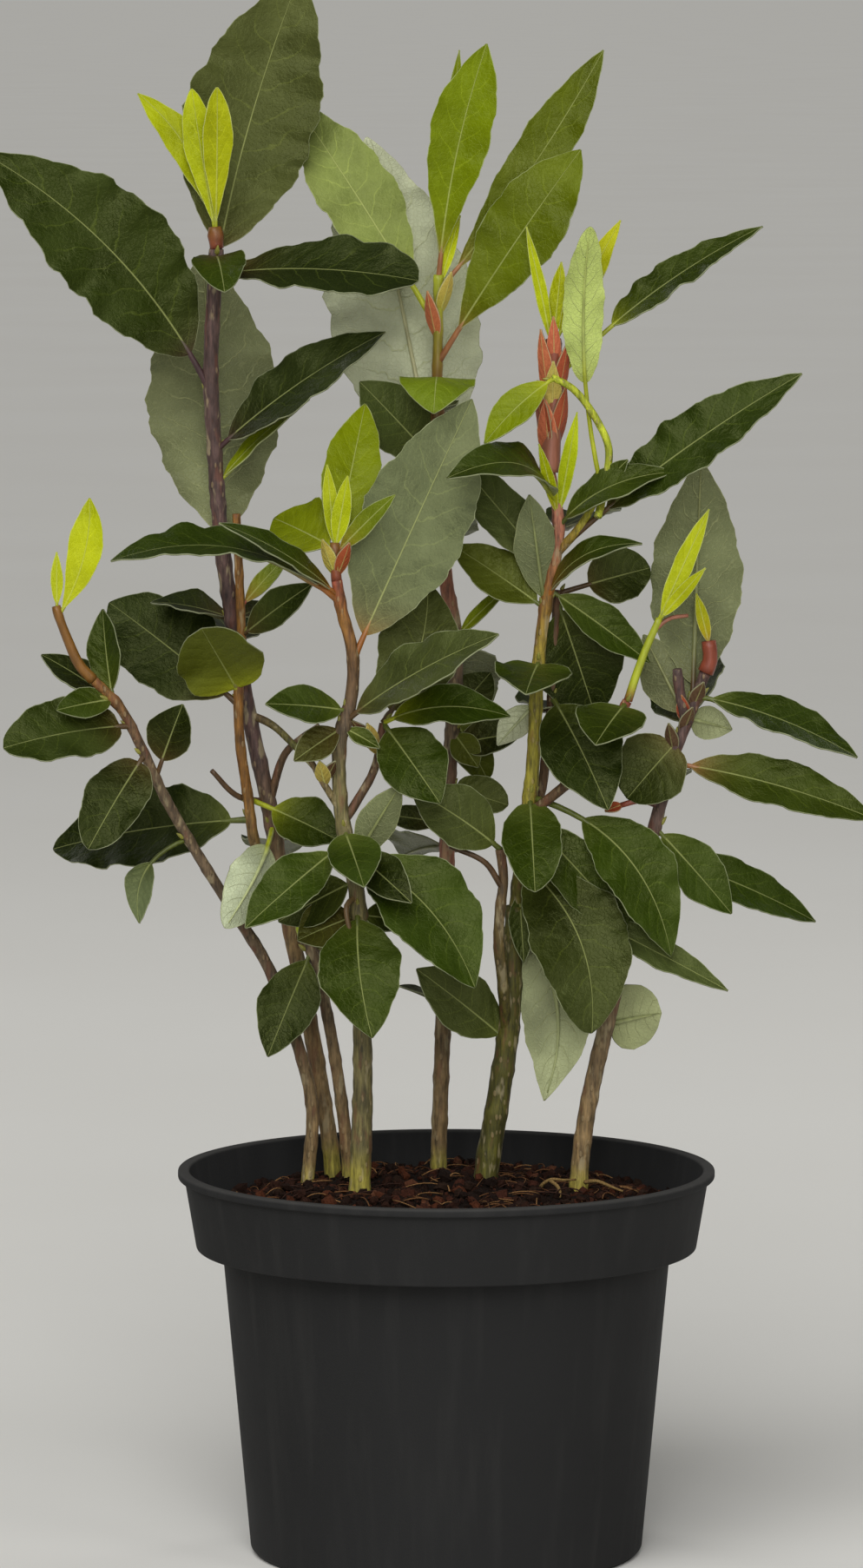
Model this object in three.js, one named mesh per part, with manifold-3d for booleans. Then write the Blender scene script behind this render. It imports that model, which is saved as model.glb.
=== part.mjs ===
// A young bay laurel (Laurus nobilis) in a round plastic nursery pot.
// Millimetres, +Z up, the middle of the pot's underside at the origin, the plant's front towards -Y.
import * as THREE from "three";
import { mergeVertices } from "three/addons/utils/BufferGeometryUtils.js";
import Module from "manifold-3d";

const wasm = await Module();
wasm.setup();

// ---------------------------------------------------------------- driving dimensions

const GAP = 0.3; // kept between two pieces that touch
const SLIVER = 0.02; // edges shorter than this are closed up after fusing

const POT = {
  height: 122.5,
  lipRadius: 85,
  lipHeight: 2.6,
  bandTopRadius: 83,
  bandBottomRadius: 79.2,
  bandHeight: 25, // from the top of the lip to the underside of the band
  shoulderRadius: 71, // body just under the band
  footRadius: 62.2,
  wall: 1.6,
  floor: 1.8,
  facets: 36, // the potting mix takes the same number, so that its flats lie along the wall's
};
const DRAIN = { count: 8, radius: 3.5, ringRadius: 46 };

const SOIL = {
  middleHeight: 118,
  edgeHeight: 110,
  bump: 1.3,
  leftGap: 5.5, // the mix has shrunk from the wall on the left side
};

const PETIOLE = { share: 0.09, halfWidth: 0.9, thickness: 1.7 };
const BLADE = {
  thickness: 0.7,
  fold: 0.2, // rise of the margins per millimetre of half width
  wave: 0.045, // height of the margin's waves, as a share of the leaf's width
  waveLength: 17,
  rowSpacing: 15,
};
const TUBE = { sides: 6, ringSpacing: 19 };

// Places on the plant are laid out in a front view, from an eye on the plant's front side. A point
// behind the middle of the pot is spread away from the eye's axis, and one before it is drawn in.
const EYE = { across: -4.7, up: 505, distance: 2500 };

// ---------------------------------------------------------------- places and solids

// across and up as they appear over the middle of the pot, depth behind it.
function place([across, up, depth]) {
  const spread = 1 + depth / EYE.distance;
  return new THREE.Vector3(
    EYE.across + (across - EYE.across) * spread,
    depth,
    EYE.up + (up - EYE.up) * spread,
  );
}

// Joins equal rings of points, each counterclockwise as seen from the loft's far end, into one
// closed solid. turned[i] tells which diagonal splits the side between point i and the next.
function loft(rings, turned) {
  const count = rings[0].length;
  const triangles = [];
  for (let row = 0; row + 1 < rings.length; row++) {
    for (let i = 0; i < count; i++) {
      const a = row * count + i;
      const b = row * count + ((i + 1) % count);
      if (turned[i]) triangles.push(a, b, a + count, b, b + count, a + count);
      else triangles.push(a, b, b + count, a, b + count, a + count);
    }
  }
  const last = (rings.length - 1) * count;
  for (let i = 2; i < count; i++) {
    const next = (i + 1) % count;
    triangles.push(1, next, i, last + 1, last + i, last + next);
  }
  return solid(rings.flat(), triangles);
}

function solid(points, triangles) {
  return new wasm.Manifold(
    new wasm.Mesh({
      numProp: 3,
      vertProperties: new Float32Array(points.flatMap((p) => p.toArray())),
      triVerts: new Uint32Array(triangles),
    }),
  );
}

function solidOfGeometry(geometry) {
  const bare = geometry.index ? geometry.toNonIndexed() : geometry.clone();
  bare.deleteAttribute("normal");
  bare.deleteAttribute("uv");
  const merged = mergeVertices(bare, 1e-4);
  return new wasm.Manifold(
    new wasm.Mesh({
      numProp: 3,
      vertProperties: merged.attributes.position.array,
      triVerts: new Uint32Array(merged.index.array),
    }),
  );
}

// Fuses solids into one body. A scrap that touches nothing is dropped, and so is a sealed hollow.
function fuse(solids) {
  const bodies = wasm.Manifold.union(solids).simplify(SLIVER).decompose();
  return bodies.reduce((a, b) => (b.volume() > a.volume() ? b : a));
}

function meshOf(name, made, material) {
  const { vertProperties, triVerts } = made.getMesh();
  const geometry = new THREE.BufferGeometry();
  geometry.setAttribute("position", new THREE.BufferAttribute(vertProperties, 3));
  geometry.setIndex(new THREE.BufferAttribute(triVerts, 1));
  const mesh = new THREE.Mesh(geometry, material);
  mesh.name = name;
  return mesh;
}

// ---------------------------------------------------------------- stems and leaves

// A round-ish rod through places of the layout, thinning from its first radius to its second.
// grow widens it all round, which turns a stem into the hole that it stands in.
function rod({ radius, route }, grow = 0) {
  const curve = new THREE.CatmullRomCurve3(route.map(place));
  const steps = Math.max(2, Math.round(curve.getLength() / TUBE.ringSpacing));
  const frames = curve.computeFrenetFrames(steps);
  const rings = [];
  for (let row = 0; row <= steps; row++) {
    const middle = curve.getPointAt(row / steps);
    if (row === 0) middle.addScaledVector(frames.tangents[0], -grow);
    const r = THREE.MathUtils.lerp(radius[0], radius[1], row / steps) + grow;
    const ring = [];
    for (let side = 0; side < TUBE.sides; side++) {
      const angle = (side / TUBE.sides) * 2 * Math.PI;
      ring.push(
        middle
          .clone()
          .addScaledVector(frames.normals[row], r * Math.cos(angle))
          .addScaledVector(frames.binormals[row], r * Math.sin(angle)),
      );
    }
    rings.push(ring);
  }
  return loft(rings, Array(TUBE.sides).fill(false));
}

// The place in the layout, on the middle line of one of the rods, nearest to across and up.
function nearestPlace(rods, across, up) {
  let best = null;
  for (const { route } of rods) {
    const line = new THREE.CatmullRomCurve3(route.map((p) => new THREE.Vector3(...p)));
    for (const p of line.getSpacedPoints(120)) {
      const away = Math.hypot(p.x - across, p.y - up);
      if (!best || away < best.away) best = { away, at: [p.x, p.y, p.z] };
    }
  }
  return best.at;
}

// Unit vector of a look direction: azimuth 0 is the front, 90 the right, elevation 90 straight up.
function look(azimuth, elevation) {
  const a = THREE.MathUtils.degToRad(azimuth);
  const e = THREE.MathUtils.degToRad(elevation);
  return new THREE.Vector3(Math.sin(a) * Math.cos(e), -Math.cos(a) * Math.cos(e), Math.sin(e));
}

// Half the width of an elliptic blade, along from 0 at its base to 1 at its tip.
function halfWidth(along, width, widest, blunt) {
  const skew = Math.log(0.5) / Math.log(widest);
  const swell = Math.max(0, Math.sin(Math.PI * Math.pow(along, skew)));
  return Math.max(0.4, (width / 2) * Math.pow(swell, 0.82 - 0.3 * blunt));
}

// One leaf, from the start of its petiole inside the stem to its tip, as one closed thin loft.
// Six points a row: left margin, midrib and right margin on the upper side, then on the underside.
function leaf(root, tip, width, facing, form = {}) {
  const { arch = 0.03, sweep = 0, blunt = 0, widest = 0.46 } = form;
  const { petiole = PETIOLE.share, wave = 1, fold = 1 } = form;
  const axis = tip.clone().sub(root);
  const length = axis.length();
  axis.normalize();
  const normal = facing.clone().addScaledVector(axis, -facing.dot(axis)).normalize();
  const side = axis.clone().cross(normal);
  const waves = (2 * Math.PI * length) / BLADE.waveLength;

  const bladeRows = THREE.MathUtils.clamp(Math.round(length / BLADE.rowSpacing), 2, 6);
  const rows = [{ t: 0, along: -1 }];
  for (let row = 0; row <= bladeRows + 1; row++) {
    const along = row / (bladeRows + 1);
    rows.push({ t: petiole + (1 - petiole) * along, along });
  }

  const rings = rows.map(({ t, along }) => {
    const middle = root
      .clone()
      .addScaledVector(axis, length * t)
      .addScaledVector(normal, arch * length * 4 * t * (1 - t))
      .addScaledVector(side, sweep * length * 4 * t * (1 - t));
    const slope = arch * 4 * (1 - 2 * t);
    const up = normal.clone().addScaledVector(axis, -slope).normalize();
    const onPetiole = along <= 0;
    const half = onPetiole
      ? Math.min(PETIOLE.halfWidth, width / 4)
      : halfWidth(along, width, widest, blunt);
    const thickness = onPetiole ? PETIOLE.thickness : BLADE.thickness;
    const swing = onPetiole ? 0 : wave * BLADE.wave * half * 2;
    const rise = onPetiole ? 0 : fold * BLADE.fold * half;
    const left = rise + swing * Math.sin(waves * along);
    const right = rise + swing * Math.sin(waves * along + 2);
    const point = (across, lift, face) =>
      middle
        .clone()
        .addScaledVector(side, across)
        .addScaledVector(up, lift + (face * thickness) / 2);
    return [
      point(-half, left, 1),
      point(0, 0, 1),
      point(half, right, 1),
      point(half, right, -1),
      point(0, 0, -1),
      point(-half, left, -1),
    ];
  });
  return loft(rings, [false, true, false, false, true, false]);
}

// ---------------------------------------------------------------- the plant's layout

// Rods are stems and twigs: radius at the foot and at the top, and a route of places
// [across, up, depth]. Leaves are rows of
// [root across, root up, tip across, tip up, tip depth from the stem, width,
//  look azimuth, look elevation, { how it differs from a plain leaf }]
// where the root is moved onto the nearest rod, and the look is the way that the upper side faces.
// A leaf may differ by: arch, the rise of its midrib, and sweep, the bend of its midrib to the
// right, both as shares of its length; blunt, from 0 for a pointed tip to 1 for a round one;
// widest, how far along the blade is widest; petiole, the share of the length that is stalk; wave,
// how much more its margins wave; and fold, how much more its halves fold up.

const STEMS = {
  stem_left_tall: {
    colour: "#5c4844",
    rods: [
      {
        radius: [2.7, 2.3],
        route: [
          [-36, 98, 30],
          [-36, 122, 30],
          [-40, 150, 30],
          [-44, 173, 30],
          [-50, 203, 29],
          [-56, 238, 27],
          [-62.5, 268, 25],
          [-66.5, 292, 24],
          [-70.5, 320, 22],
          [-73, 353, 21],
          [-73.9, 375, 20],
          [-72, 413, 19],
        ],
      },
      {
        radius: [1.8, 1.3],
        route: [
          [-52, 212, 28.5],
          [-57.5, 218, 25],
          [-60.7, 227, 22],
          [-62.5, 240, 21],
          [-65, 258, 20],
          [-65.5, 272, 20],
          [-64.5, 288, 19],
          [-66, 330, 17],
        ],
      },
      {
        radius: [1.4, 1.1],
        route: [
          [-56, 238, 27],
          [-51, 254, 24],
          [-46, 259, 22],
          [-40, 263, 20],
        ],
      },
      {
        radius: [1.3, 1],
        route: [
          [-62.5, 267, 25],
          [-55, 263.5, 22],
          [-48, 257, 18],
          [-41.5, 250, 12],
        ],
      },
      {
        radius: [1.1, 0.8],
        route: [
          [-56.5, 239, 27],
          [-66, 241, 22],
          [-74, 249, 18],
        ],
      },
    ],
    leaves: [
      [-76, 369, -145, 443, -5, 37, 0, 22, { arch: 0.04, sweep: 0.07, petiole: 0.13, widest: 0.42 }],
      [-69, 404, -45, 500, 25, 42, 0, 10, { arch: -0.06, sweep: -0.03 }],
      [-71.5, 404, -8.8, 403, -25, 26, 0, 50, { arch: 0.05, petiole: 0.02, widest: 0.66, blunt: 1.2 }],
      [-72, 411, -69.5, 399.5, -28, 17, 0, 48, { arch: 0.12, blunt: 0.8 }],
      [-70, 315, -76.5, 411, 25, 42, 180, 0, { arch: 0.06, widest: 0.5 }],
      [-71, 350, -19, 387, -8, 22, 0, 50, { arch: 0.05 }],
      [-69, 338, -43, 366, 4, 8, 0, 70, { arch: 0.05 }],
      [-66, 270, -106, 302, 22, 31, 0, 20, { arch: 0.05, blunt: 0.3 }],
      [-66, 297, -93, 302, 5, 20, 0, 78, { arch: 0.05 }],
      [-66, 297, -53, 301, 8, 13, 0, 75],
      [-63, 291, -42, 308, -10, 12, 0, 30],
      [-65, 300, -49, 318, 5, 6, 0, 30],
      [-66, 274, -77, 294, -14, 28, 0, -35, { arch: 0, blunt: 1.2, petiole: 0.05 }],
      [-61, 234, -124, 224, 18, 30, 0, 38, { arch: 0.05, blunt: 0.5 }],
      [-61.5, 240, -33.5, 226.5, -15, 18, 0, 35, { petiole: 0.25 }],
      [-58, 232, -70, 199, -30, 16, 180, 20, { arch: -0.12, blunt: 0.8, petiole: 0.25 }],
      [-66, 290, -76, 300, 45, 26, 180, 45],
      [-55, 225, -52, 222, 42, 24, 180, 50],
    ],
  },
  stem_left_low: {
    colour: "#6f6262",
    rods: [
      {
        radius: [2.2, 1.5],
        route: [
          [-44, 92, 22],
          [-44, 117, 22],
          [-42.5, 142, 22],
          [-49, 168, 21],
          [-57, 188, 19],
          [-67, 204, 16],
          [-80, 225, 10],
          [-89, 241, 5],
          [-96, 256, 1],
          [-102.5, 268.5, -2],
          [-111, 277.5, -4],
        ],
      },
    ],
    leaves: [
      [-104, 271, -127.5, 285.5, 12, 13, 0, 58],
      [-105, 271, -108, 300, 6, 12, -30, 15, { fold: 1.6 }],
      [-100, 262.5, -139.6, 256, -15, 24, 0, 42, { arch: 0.05, blunt: 1 }],
      [-92, 247, -83, 270, -4, 15, 0, 30, { petiole: 0.25, fold: 2 }],
      [-97, 254, -113, 224, -18, 19.5, 0, 30, { arch: 0.05, blunt: 1 }],
      [-82, 228, -97, 200.5, -12, 10, 0, 40, { arch: 0.05, sweep: 0.2, petiole: 0.4 }],
      [-105, 272, -122.8, 268, -10, 11, 0, 30, { petiole: 0.05, blunt: 0.3 }],
    ],
  },
  stem_left_mid: {
    colour: "#7a6c5e",
    rods: [
      {
        radius: [2.2, 1.7],
        route: [
          [-31, 98, 22],
          [-31, 122, 22],
          [-33, 142, 22],
          [-37, 168, 21],
          [-42, 190, 20],
          [-45, 196, 20],
        ],
      },
    ],
    leaves: [
      [-44, 191, -56.5, 158, -11, 19, 0, 30],
      [-42, 190, -29, 200, 26, 22, 150, 40],
    ],
  },
  stem_left_front: {
    colour: "#6a6a44",
    rods: [
      {
        radius: [3.6, 1.7],
        route: [
          [-27.5, 92, -13],
          [-27.5, 114, -13],
          [-26.5, 145, -13],
          [-27.5, 200, -14],
          [-29, 215, -15],
          [-33, 235, -16],
          [-33.5, 258, -17],
          [-30, 272, -17],
          [-29.5, 286, -18],
          [-33, 300, -18],
          [-34.5, 309, -18],
        ],
      },
      {
        radius: [1.3, 0.8],
        route: [
          [-33, 236, -16],
          [-37.5, 243, -18],
          [-41, 249, -19],
          [-45.5, 257, -20],
        ],
      },
      {
        radius: [1, 0.8],
        route: [
          [-28.5, 209, -15],
          [-31.5, 206, -19],
          [-30, 195.5, -20],
        ],
      },
      {
        radius: [1.5, 1.2],
        route: [
          [-33, 232, -16],
          [-29, 238, -15],
          [-22.5, 250, -13],
          [-20, 264, -12],
        ],
      },
    ],
    leaves: [
      [-35, 301, -105.5, 315, -16, 21, 0, 68, { arch: 0.16, widest: 0.6 }],
      [-34, 303, -71.5, 327, -19, 11, 0, 55, { arch: 0.06 }],
      [-28.5, 284, 8, 366, 20, 34, 0, 12, { arch: 0.04 }],
      [-31, 267, -57, 270, -14, 14, 0, 35],
      [-33.5, 262, -48, 252, -6, 11, 0, 30],
      [-29, 264, 16.5, 292, -18, 22, 0, 50, { arch: 0.05 }],
      [-20, 264, -6, 309, 14, 26, 0, 15, { arch: 0.05, sweep: 0.09 }],
      [-20, 264, -2, 238.5, -14, 22, 0, 30, { wave: 1.5 }],
      [-20, 264, 20, 266, -4, 15, 0, 40, { arch: 0.18, wave: 1.5 }],
      [-29, 220, -14.5, 244.5, -8, 12, 180, 0],
      [-33, 230, -26, 212, -26, 17, 0, 45],
      [-31, 224, -11, 207, -20, 14, 0, 30],
      [-30, 223, 9, 180, -16, 30, 0, 40, { arch: 0.06, sweep: -0.09 }],
      [-31, 226, -63.5, 199, -20, 18, 0, 40, { petiole: 0.15 }],
      [-28.5, 214, -53, 201, 2, 17, 0, 30],
      [-28, 205, -23.5, 164, -26, 26, 0, 40, { arch: 0.06, sweep: 0.04 }],
      [-28, 203, -47, 195, -6, 18, 0, 40],
      [-27.5, 203, -12, 201, 5, 10, 0, 30],
      [-30, 262, -21, 256, -4, 6, 0, 40],
    ],
  },
  stem_centre: {
    colour: "#7b6a5e",
    rods: [
      {
        radius: [2.6, 2.1],
        route: [
          [-2.5, 98, 29],
          [-2.5, 121, 29],
          [-1, 170, 29],
          [0, 200, 28],
          [0.5, 240, 26],
          [3, 290, 24],
          [0, 308, 23],
          [-2, 330, 22],
          [-3, 370, 20],
        ],
      },
    ],
    leaves: [
      [-3, 338, -25, 448, 22, 48, 180, 0, { arch: 0.05 }],
      [-2, 366, -4, 361.5, -26, 24, 0, 44, { arch: 0.36, fold: -0.4, blunt: 0.5 }],
      [-3, 345, -27.3, 371.5, -4, 22, 0, 25],
      [3, 292, 20, 307.5, -4, 5, 0, 40],
      [1.5, 266, 14, 280, 8, 14, 0, 30],
      [1.5, 258, 24, 261, -3, 13, 0, 30],
      [0.5, 243, 19.5, 238, -4, 14, 0, 30, { blunt: 1 }],
      [1, 262, 10, 250, -6, 10, 0, 30],
      [2, 266, 13, 246, 4, 12, 0, 30, { blunt: 1 }],
      [0, 232, -20, 235, 4, 9, 0, 30],
      [-1, 176, -15, 180.5, -3, 8, 0, 80],
      [-0.5, 225, -14, 222, 40, 24, 180, 45],
      [0, 290, 6, 262, 42, 26, 180, 40],
      [-2, 330, -6, 318, 42, 28, 180, 40],
      [-3, 360, -12, 372, 40, 26, 190, 40],
    ],
  },
  stem_right_mid: {
    colour: "#74704a",
    rods: [
      {
        radius: [4.2, 3],
        route: [
          [12.3, 92, 4],
          [12.3, 117, 4],
          [16.5, 145, 4],
          [20, 170, 4],
          [21, 195, 4],
          [22, 206, 4],
        ],
      },
      {
        radius: [2.5, 1.6],
        route: [
          [21, 195, 4],
          [24, 222, 4],
          [27, 248, 4],
          [29, 283, 3],
          [31, 300, 3],
          [35, 320, 3],
          [35, 330, 3],
          [32.5, 343, 3],
        ],
      },
      {
        radius: [1.9, 1.5],
        route: [
          [19, 165, 4],
          [18, 180, -3],
          [16.5, 195, -6],
          [17, 205, -6],
          [18, 215, -5],
          [17, 224, -5],
        ],
      },
      {
        radius: [1, 0.8],
        route: [
          [17.5, 212, -5.5],
          [12, 220, -8],
          [1, 225, -10],
        ],
      },
      {
        radius: [1.6, 1.3],
        route: [
          [27, 236, 4],
          [30, 243, 9],
          [31.5, 256, 10],
          [33, 270, 10],
          [34.5, 300, 10],
          [35, 306, 10],
        ],
      },
      {
        radius: [1.7, 1.4],
        route: [
          [27, 236, 4],
          [31, 239, 0],
          [41, 247.5, -3],
          [48, 256, -4],
          [54, 266, -5],
          [57, 271, -5],
        ],
      },
      {
        radius: [1.5, 1.2],
        route: [
          [35, 318, 3],
          [42, 326, 1],
          [49, 339, 0],
        ],
      },
      {
        radius: [1.3, 1.1],
        route: [
          [47.6, 329, -6],
          [49.5, 338, -1],
          [51, 350, -1],
          [48, 358, -2],
          [40, 369, -4],
          [33, 373, -5],
        ],
      },
    ],
    leaves: [
      [34.5, 332, 0, 341, -26, 20, 0, 55, { arch: 0.25 }],
      [32, 311, 4, 346, 10, 16, 0, 20],
      [31, 300, 26, 336, -6, 14, 180, 0],
      [30, 300, 2, 320, 8, 16, 0, 30],
      [28, 270, 16, 257, 4, 10, 180, 20],
      [34, 373, 12, 352, -6, 12, 0, 40, { arch: 0.1 }],
      [49, 338, 45, 420, -8, 13, 180, 0, { petiole: 0.4, sweep: 0.045, blunt: 0.9 }],
      [35.5, 328, 41, 362, -4, 5, 0, 20],
      [35, 328, 29, 352, -8, 4, 0, 20],
      [36, 320, 111.5, 374, -5, 21, 0, 40, { arch: 0.05, petiole: 0.2, wave: 1.5 }],
      [35.5, 326, 71, 343, -8, 14, 0, 50, { arch: 0.15 }],
      [49, 338, 57, 347, -3, 6, 0, 30],
      [32, 303, 61.5, 320.5, -8, 12, 0, 60, { arch: 0.2 }],
      [35, 305, 64, 313, 6, 18, 0, 20, { blunt: 1, petiole: 0.33 }],
      [33, 306, 64, 283, 0, 13, 0, 30, { fold: 2 }],
      [35, 303, 47, 266, 4, 29, 0, 20],
      [56, 270, 47, 257, -24, 22, 0, 55],
      [29, 283, 25, 273, -32, 24, 0, 45],
      [33, 272, 51, 236.5, -24, 26, 0, 35, { arch: 0.08 }],
      [27, 240, 71, 190, -14, 24, 0, 35, { arch: 0.12, sweep: -0.12, petiole: 0.25 }],
      [24, 220, 46, 165.5, -24, 31, 0, 35, { arch: 0.05, sweep: -0.12, blunt: 0.8 }],
      [26, 241, 28, 210.5, -28, 19, 0, 35, { blunt: 0.9 }],
      [26, 234, 62, 194, -6, 20, 0, 25],
      [21, 204, 31, 144, -8, 23, 180, 10, { sweep: 0.14 }],
      [22, 212, 24.5, 188, -6, 8, 0, 30],
      [25, 212, 89, 179, -10.5, 11, 0, 35, { petiole: 0.3 }],
      [17, 224, -11, 243, -4, 20, 0, 25, { arch: 0.1 }],
      [18, 163, -9.5, 186, -6, 20, 0, 30],
      [28, 268, 42, 268, 42, 26, 160, 45],
      [35, 325, 50, 330, 38, 24, 160, 40],
    ],
  },
  stem_right: {
    colour: "#6a5650",
    rods: [
      {
        radius: [3.1, 1.7],
        route: [
          [42, 92, 3],
          [42, 118, 3],
          [44.5, 140, 3],
          [51, 170, 3],
          [57.5, 196, 3],
          [65, 228, 2],
          [71, 252, 2],
          [77, 268, 2],
          [81.5, 280, 2],
        ],
      },
      {
        radius: [1.1, 0.9],
        route: [
          [67, 238, 2],
          [61, 239.5, -2],
          [55, 238, -2],
        ],
      },
      {
        radius: [1.9, 1.5],
        route: [
          [76, 264, 2],
          [74, 271, 0],
          [72.6, 281, -2],
        ],
      },
    ],
    leaves: [
      [77.5, 269, 80, 347, 12, 29, 180, 0, { arch: 0.07 }],
      [78, 272, 129.5, 253, -10, 18, 0, 60, { arch: 0.06 }],
      [71, 251, 136, 233, -12, 18, 0, 40, { arch: 0.06 }],
      [76, 266, 90, 262, 6, 11, 180, 0],
      [74, 259, 57, 240, -4, 24, 0, 30, { blunt: 1 }],
      [56, 238, 50, 236, -2, 4, 0, 40],
      [66, 231, 90, 203.5, -3, 17, 0, 35],
      [64, 223, 116.5, 201, 18, 15, 0, 35, { arch: 0.05 }],
      [51, 169, 68, 172, 9, 22, 180, 10, { blunt: 1.2 }],
      [76, 265, 62, 292, 10, 16, 180, 10],
      [70, 248, 60, 246, 40, 24, 180, 45],
      [75, 262, 80, 285, 42, 26, 180, 40],
    ],
  },
  shoot_left_top: {
    colour: "#c9b24a",
    rods: [
      {
        radius: [2.2, 1.9],
        route: [
          [-72, 414, 19],
          [-72.5, 420, 19],
        ],
      },
    ],
    leaves: [
      [-72, 417, -96.5, 461.5, 8, 11, 0, 20, { petiole: 0.1, sweep: 0.1, widest: 0.55 }],
      [-72, 418, -79.6, 463, 1, 10, -10, 20, { petiole: 0.06, widest: 0.62, blunt: 0.5 }],
      [-72, 418, -71.7, 463.5, -6, 9.5, 10, 20, { petiole: 0.06, widest: 0.64, blunt: 0.5 }],
    ],
  },
  shoot_left_low: {
    colour: "#c98f3c",
    rods: [
      {
        radius: [1.8, 1.3],
        route: [
          [-111.8, 278.3, -4],
          [-115.4, 282.2, -5],
          [-119, 290, -6],
          [-122, 298, -7],
          [-122.8, 301, -7],
        ],
      },
    ],
    leaves: [
      [-121.5, 298, -112, 335, 2, 11, 0, 20, { petiole: 0.04, sweep: 0.08, widest: 0.58 }],
      [-121.5, 300, -122.5, 318, 2, 4, 0, 20],
    ],
  },
  shoot_left_front: {
    colour: "#b9a23e",
    rods: [
      {
        radius: [1.7, 1.4],
        route: [
          [-34.6, 309.7, -18],
          [-35, 315, -18],
          [-35, 321, -18],
        ],
      },
    ],
    leaves: [
      [-35, 318, -37.5, 345.5, 1, 5, 0, 20],
      [-35, 318, -31, 342, -1, 6, 0, 20],
      [-34, 317, -16, 336, -4, 7, 0, 30],
      [-36, 319, -54.1, 328.5, 22, 22, 0, 25],
      [-34, 318, -25.5, 364.5, 30, 18, 0, 10],
    ],
  },
  shoot_centre_top: {
    colour: "#b9a046",
    rods: [
      {
        radius: [1.7, 1.4],
        route: [
          [-3, 370.8, 20],
          [-2.6, 388, 20],
          [-2.5, 405, 19],
        ],
      },
    ],
    leaves: [
      [-4, 388, -47.8, 459, 30, 25, 0, 25, { arch: 0.05, petiole: 0.2 }],
      [-2, 403, 12.6, 477, 0, 19.5, 0, 20, { sweep: -0.03, widest: 0.6, fold: 1.4 }],
      [-2, 404, 4, 475, 6, 8, 0, 20],
      [-2, 400, 49, 475, 7, 17, 0, 20, { arch: 0.02, sweep: 0.03, widest: 0.55 }],
      [-2, 377, 42, 444, -4, 25, 0, 25, { arch: 0.05, petiole: 0.15, widest: 0.58 }],
      [-1, 400, 4.3, 423.5, 3, 3.5, 0, 30],
    ],
  },
  shoot_right_mid_top: {
    colour: "#c98a72",
    rods: [
      {
        radius: [3.3, 2.2],
        route: [
          [32.4, 344, 3],
          [33, 355, 3],
          [34, 370, 3],
          [33.5, 385, 3],
        ],
      },
    ],
    leaves: [
      [34, 383, 54.5, 422, 0, 8, 0, 20],
      [33, 380, 25, 420, 0, 4, 0, 20],
      [33.5, 384, 36, 409, 2, 6, 0, 20],
      [34, 372, 99, 420, 10, 15, 0, 60, { arch: 0.06, petiole: 0.3, widest: 0.38, wave: 1.2 }],
    ],
  },
  shoot_right_side: {
    colour: "#c9ae40",
    rods: [
      {
        radius: [1.4, 1.1],
        route: [
          [57.4, 271.8, -5],
          [60, 280, -5],
          [63, 288, -5],
          [67, 297, -5],
        ],
      },
      {
        radius: [0.8, 0.6],
        route: [
          [65, 293, -5],
          [70, 297, -4],
          [76, 298, -3],
        ],
      },
    ],
    leaves: [
      [66, 295, 82.5, 331.5, 4, 6.5, 0, 20],
      [67, 296, 81.5, 313, -5, 4.5, 0, 20],
    ],
  },
  bud_right: {
    colour: "#a8483c",
    rods: [
      {
        radius: [2.6, 2.1],
        route: [
          [81.8, 280.8, 2],
          [83, 284, 2],
          [82.5, 290, 2],
        ],
      },
    ],
    leaves: [[82.5, 289, 78.5, 305, 0, 4, 0, 20, { petiole: 0.03 }]],
  },
  bud_left_mid: {
    colour: "#c9b440",
    rods: [
      {
        radius: [1.6, 0.7],
        route: [
          [-45.5, 196.9, 20],
          [-46.5, 199, 20],
          [-46.5, 203, 20],
        ],
      },
    ],
    leaves: [],
  },
};

// ---------------------------------------------------------------- pot and potting mix

// Radius of the pot's inside at a height, below the band and in it.
function innerRadius(height) {
  const bandFoot = POT.height - POT.bandHeight;
  const { lerp } = THREE.MathUtils;
  return height < bandFoot
    ? lerp(POT.footRadius, POT.shoulderRadius, height / bandFoot) - POT.wall
    : lerp(POT.bandBottomRadius, POT.bandTopRadius, (height - bandFoot) / POT.bandHeight) - POT.wall;
}

function pot() {
  const bandFoot = POT.height - POT.bandHeight;
  const lipFoot = POT.height - POT.lipHeight;
  const profile = [
    [0, 0],
    [POT.footRadius - 2.4, 0],
    [POT.footRadius - 0.6, 0.8],
    [POT.footRadius, 2.6],
    [POT.shoulderRadius, bandFoot],
    [POT.bandBottomRadius - 0.9, bandFoot],
    [POT.bandBottomRadius, bandFoot + 1.2],
    [POT.bandTopRadius, lipFoot],
    [POT.lipRadius - 0.4, lipFoot],
    [POT.lipRadius, lipFoot + 0.6],
    [POT.lipRadius, POT.height - 0.7],
    [POT.lipRadius - 0.7, POT.height],
    [POT.bandTopRadius - POT.wall, POT.height],
    [innerRadius(bandFoot + POT.floor), bandFoot + POT.floor],
    [innerRadius(bandFoot - 0.01), bandFoot + POT.floor],
    [innerRadius(POT.floor), POT.floor],
    [0, POT.floor],
  ];
  const points = profile.map(([radius, height]) => new THREE.Vector2(radius, height));
  const turned = new THREE.LatheGeometry(points, POT.facets).rotateX(Math.PI / 2);
  const holes = [];
  for (let i = 0; i < DRAIN.count; i++) {
    const angle = (2 * Math.PI * (i + 0.5)) / DRAIN.count;
    const hole = new THREE.CylinderGeometry(DRAIN.radius, DRAIN.radius, 3 * POT.floor, 12);
    hole.rotateX(Math.PI / 2);
    hole.translate(DRAIN.ringRadius * Math.cos(angle), DRAIN.ringRadius * Math.sin(angle), 0);
    holes.push(solidOfGeometry(hole));
  }
  return solidOfGeometry(turned).subtract(wasm.Manifold.union(holes));
}

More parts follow.
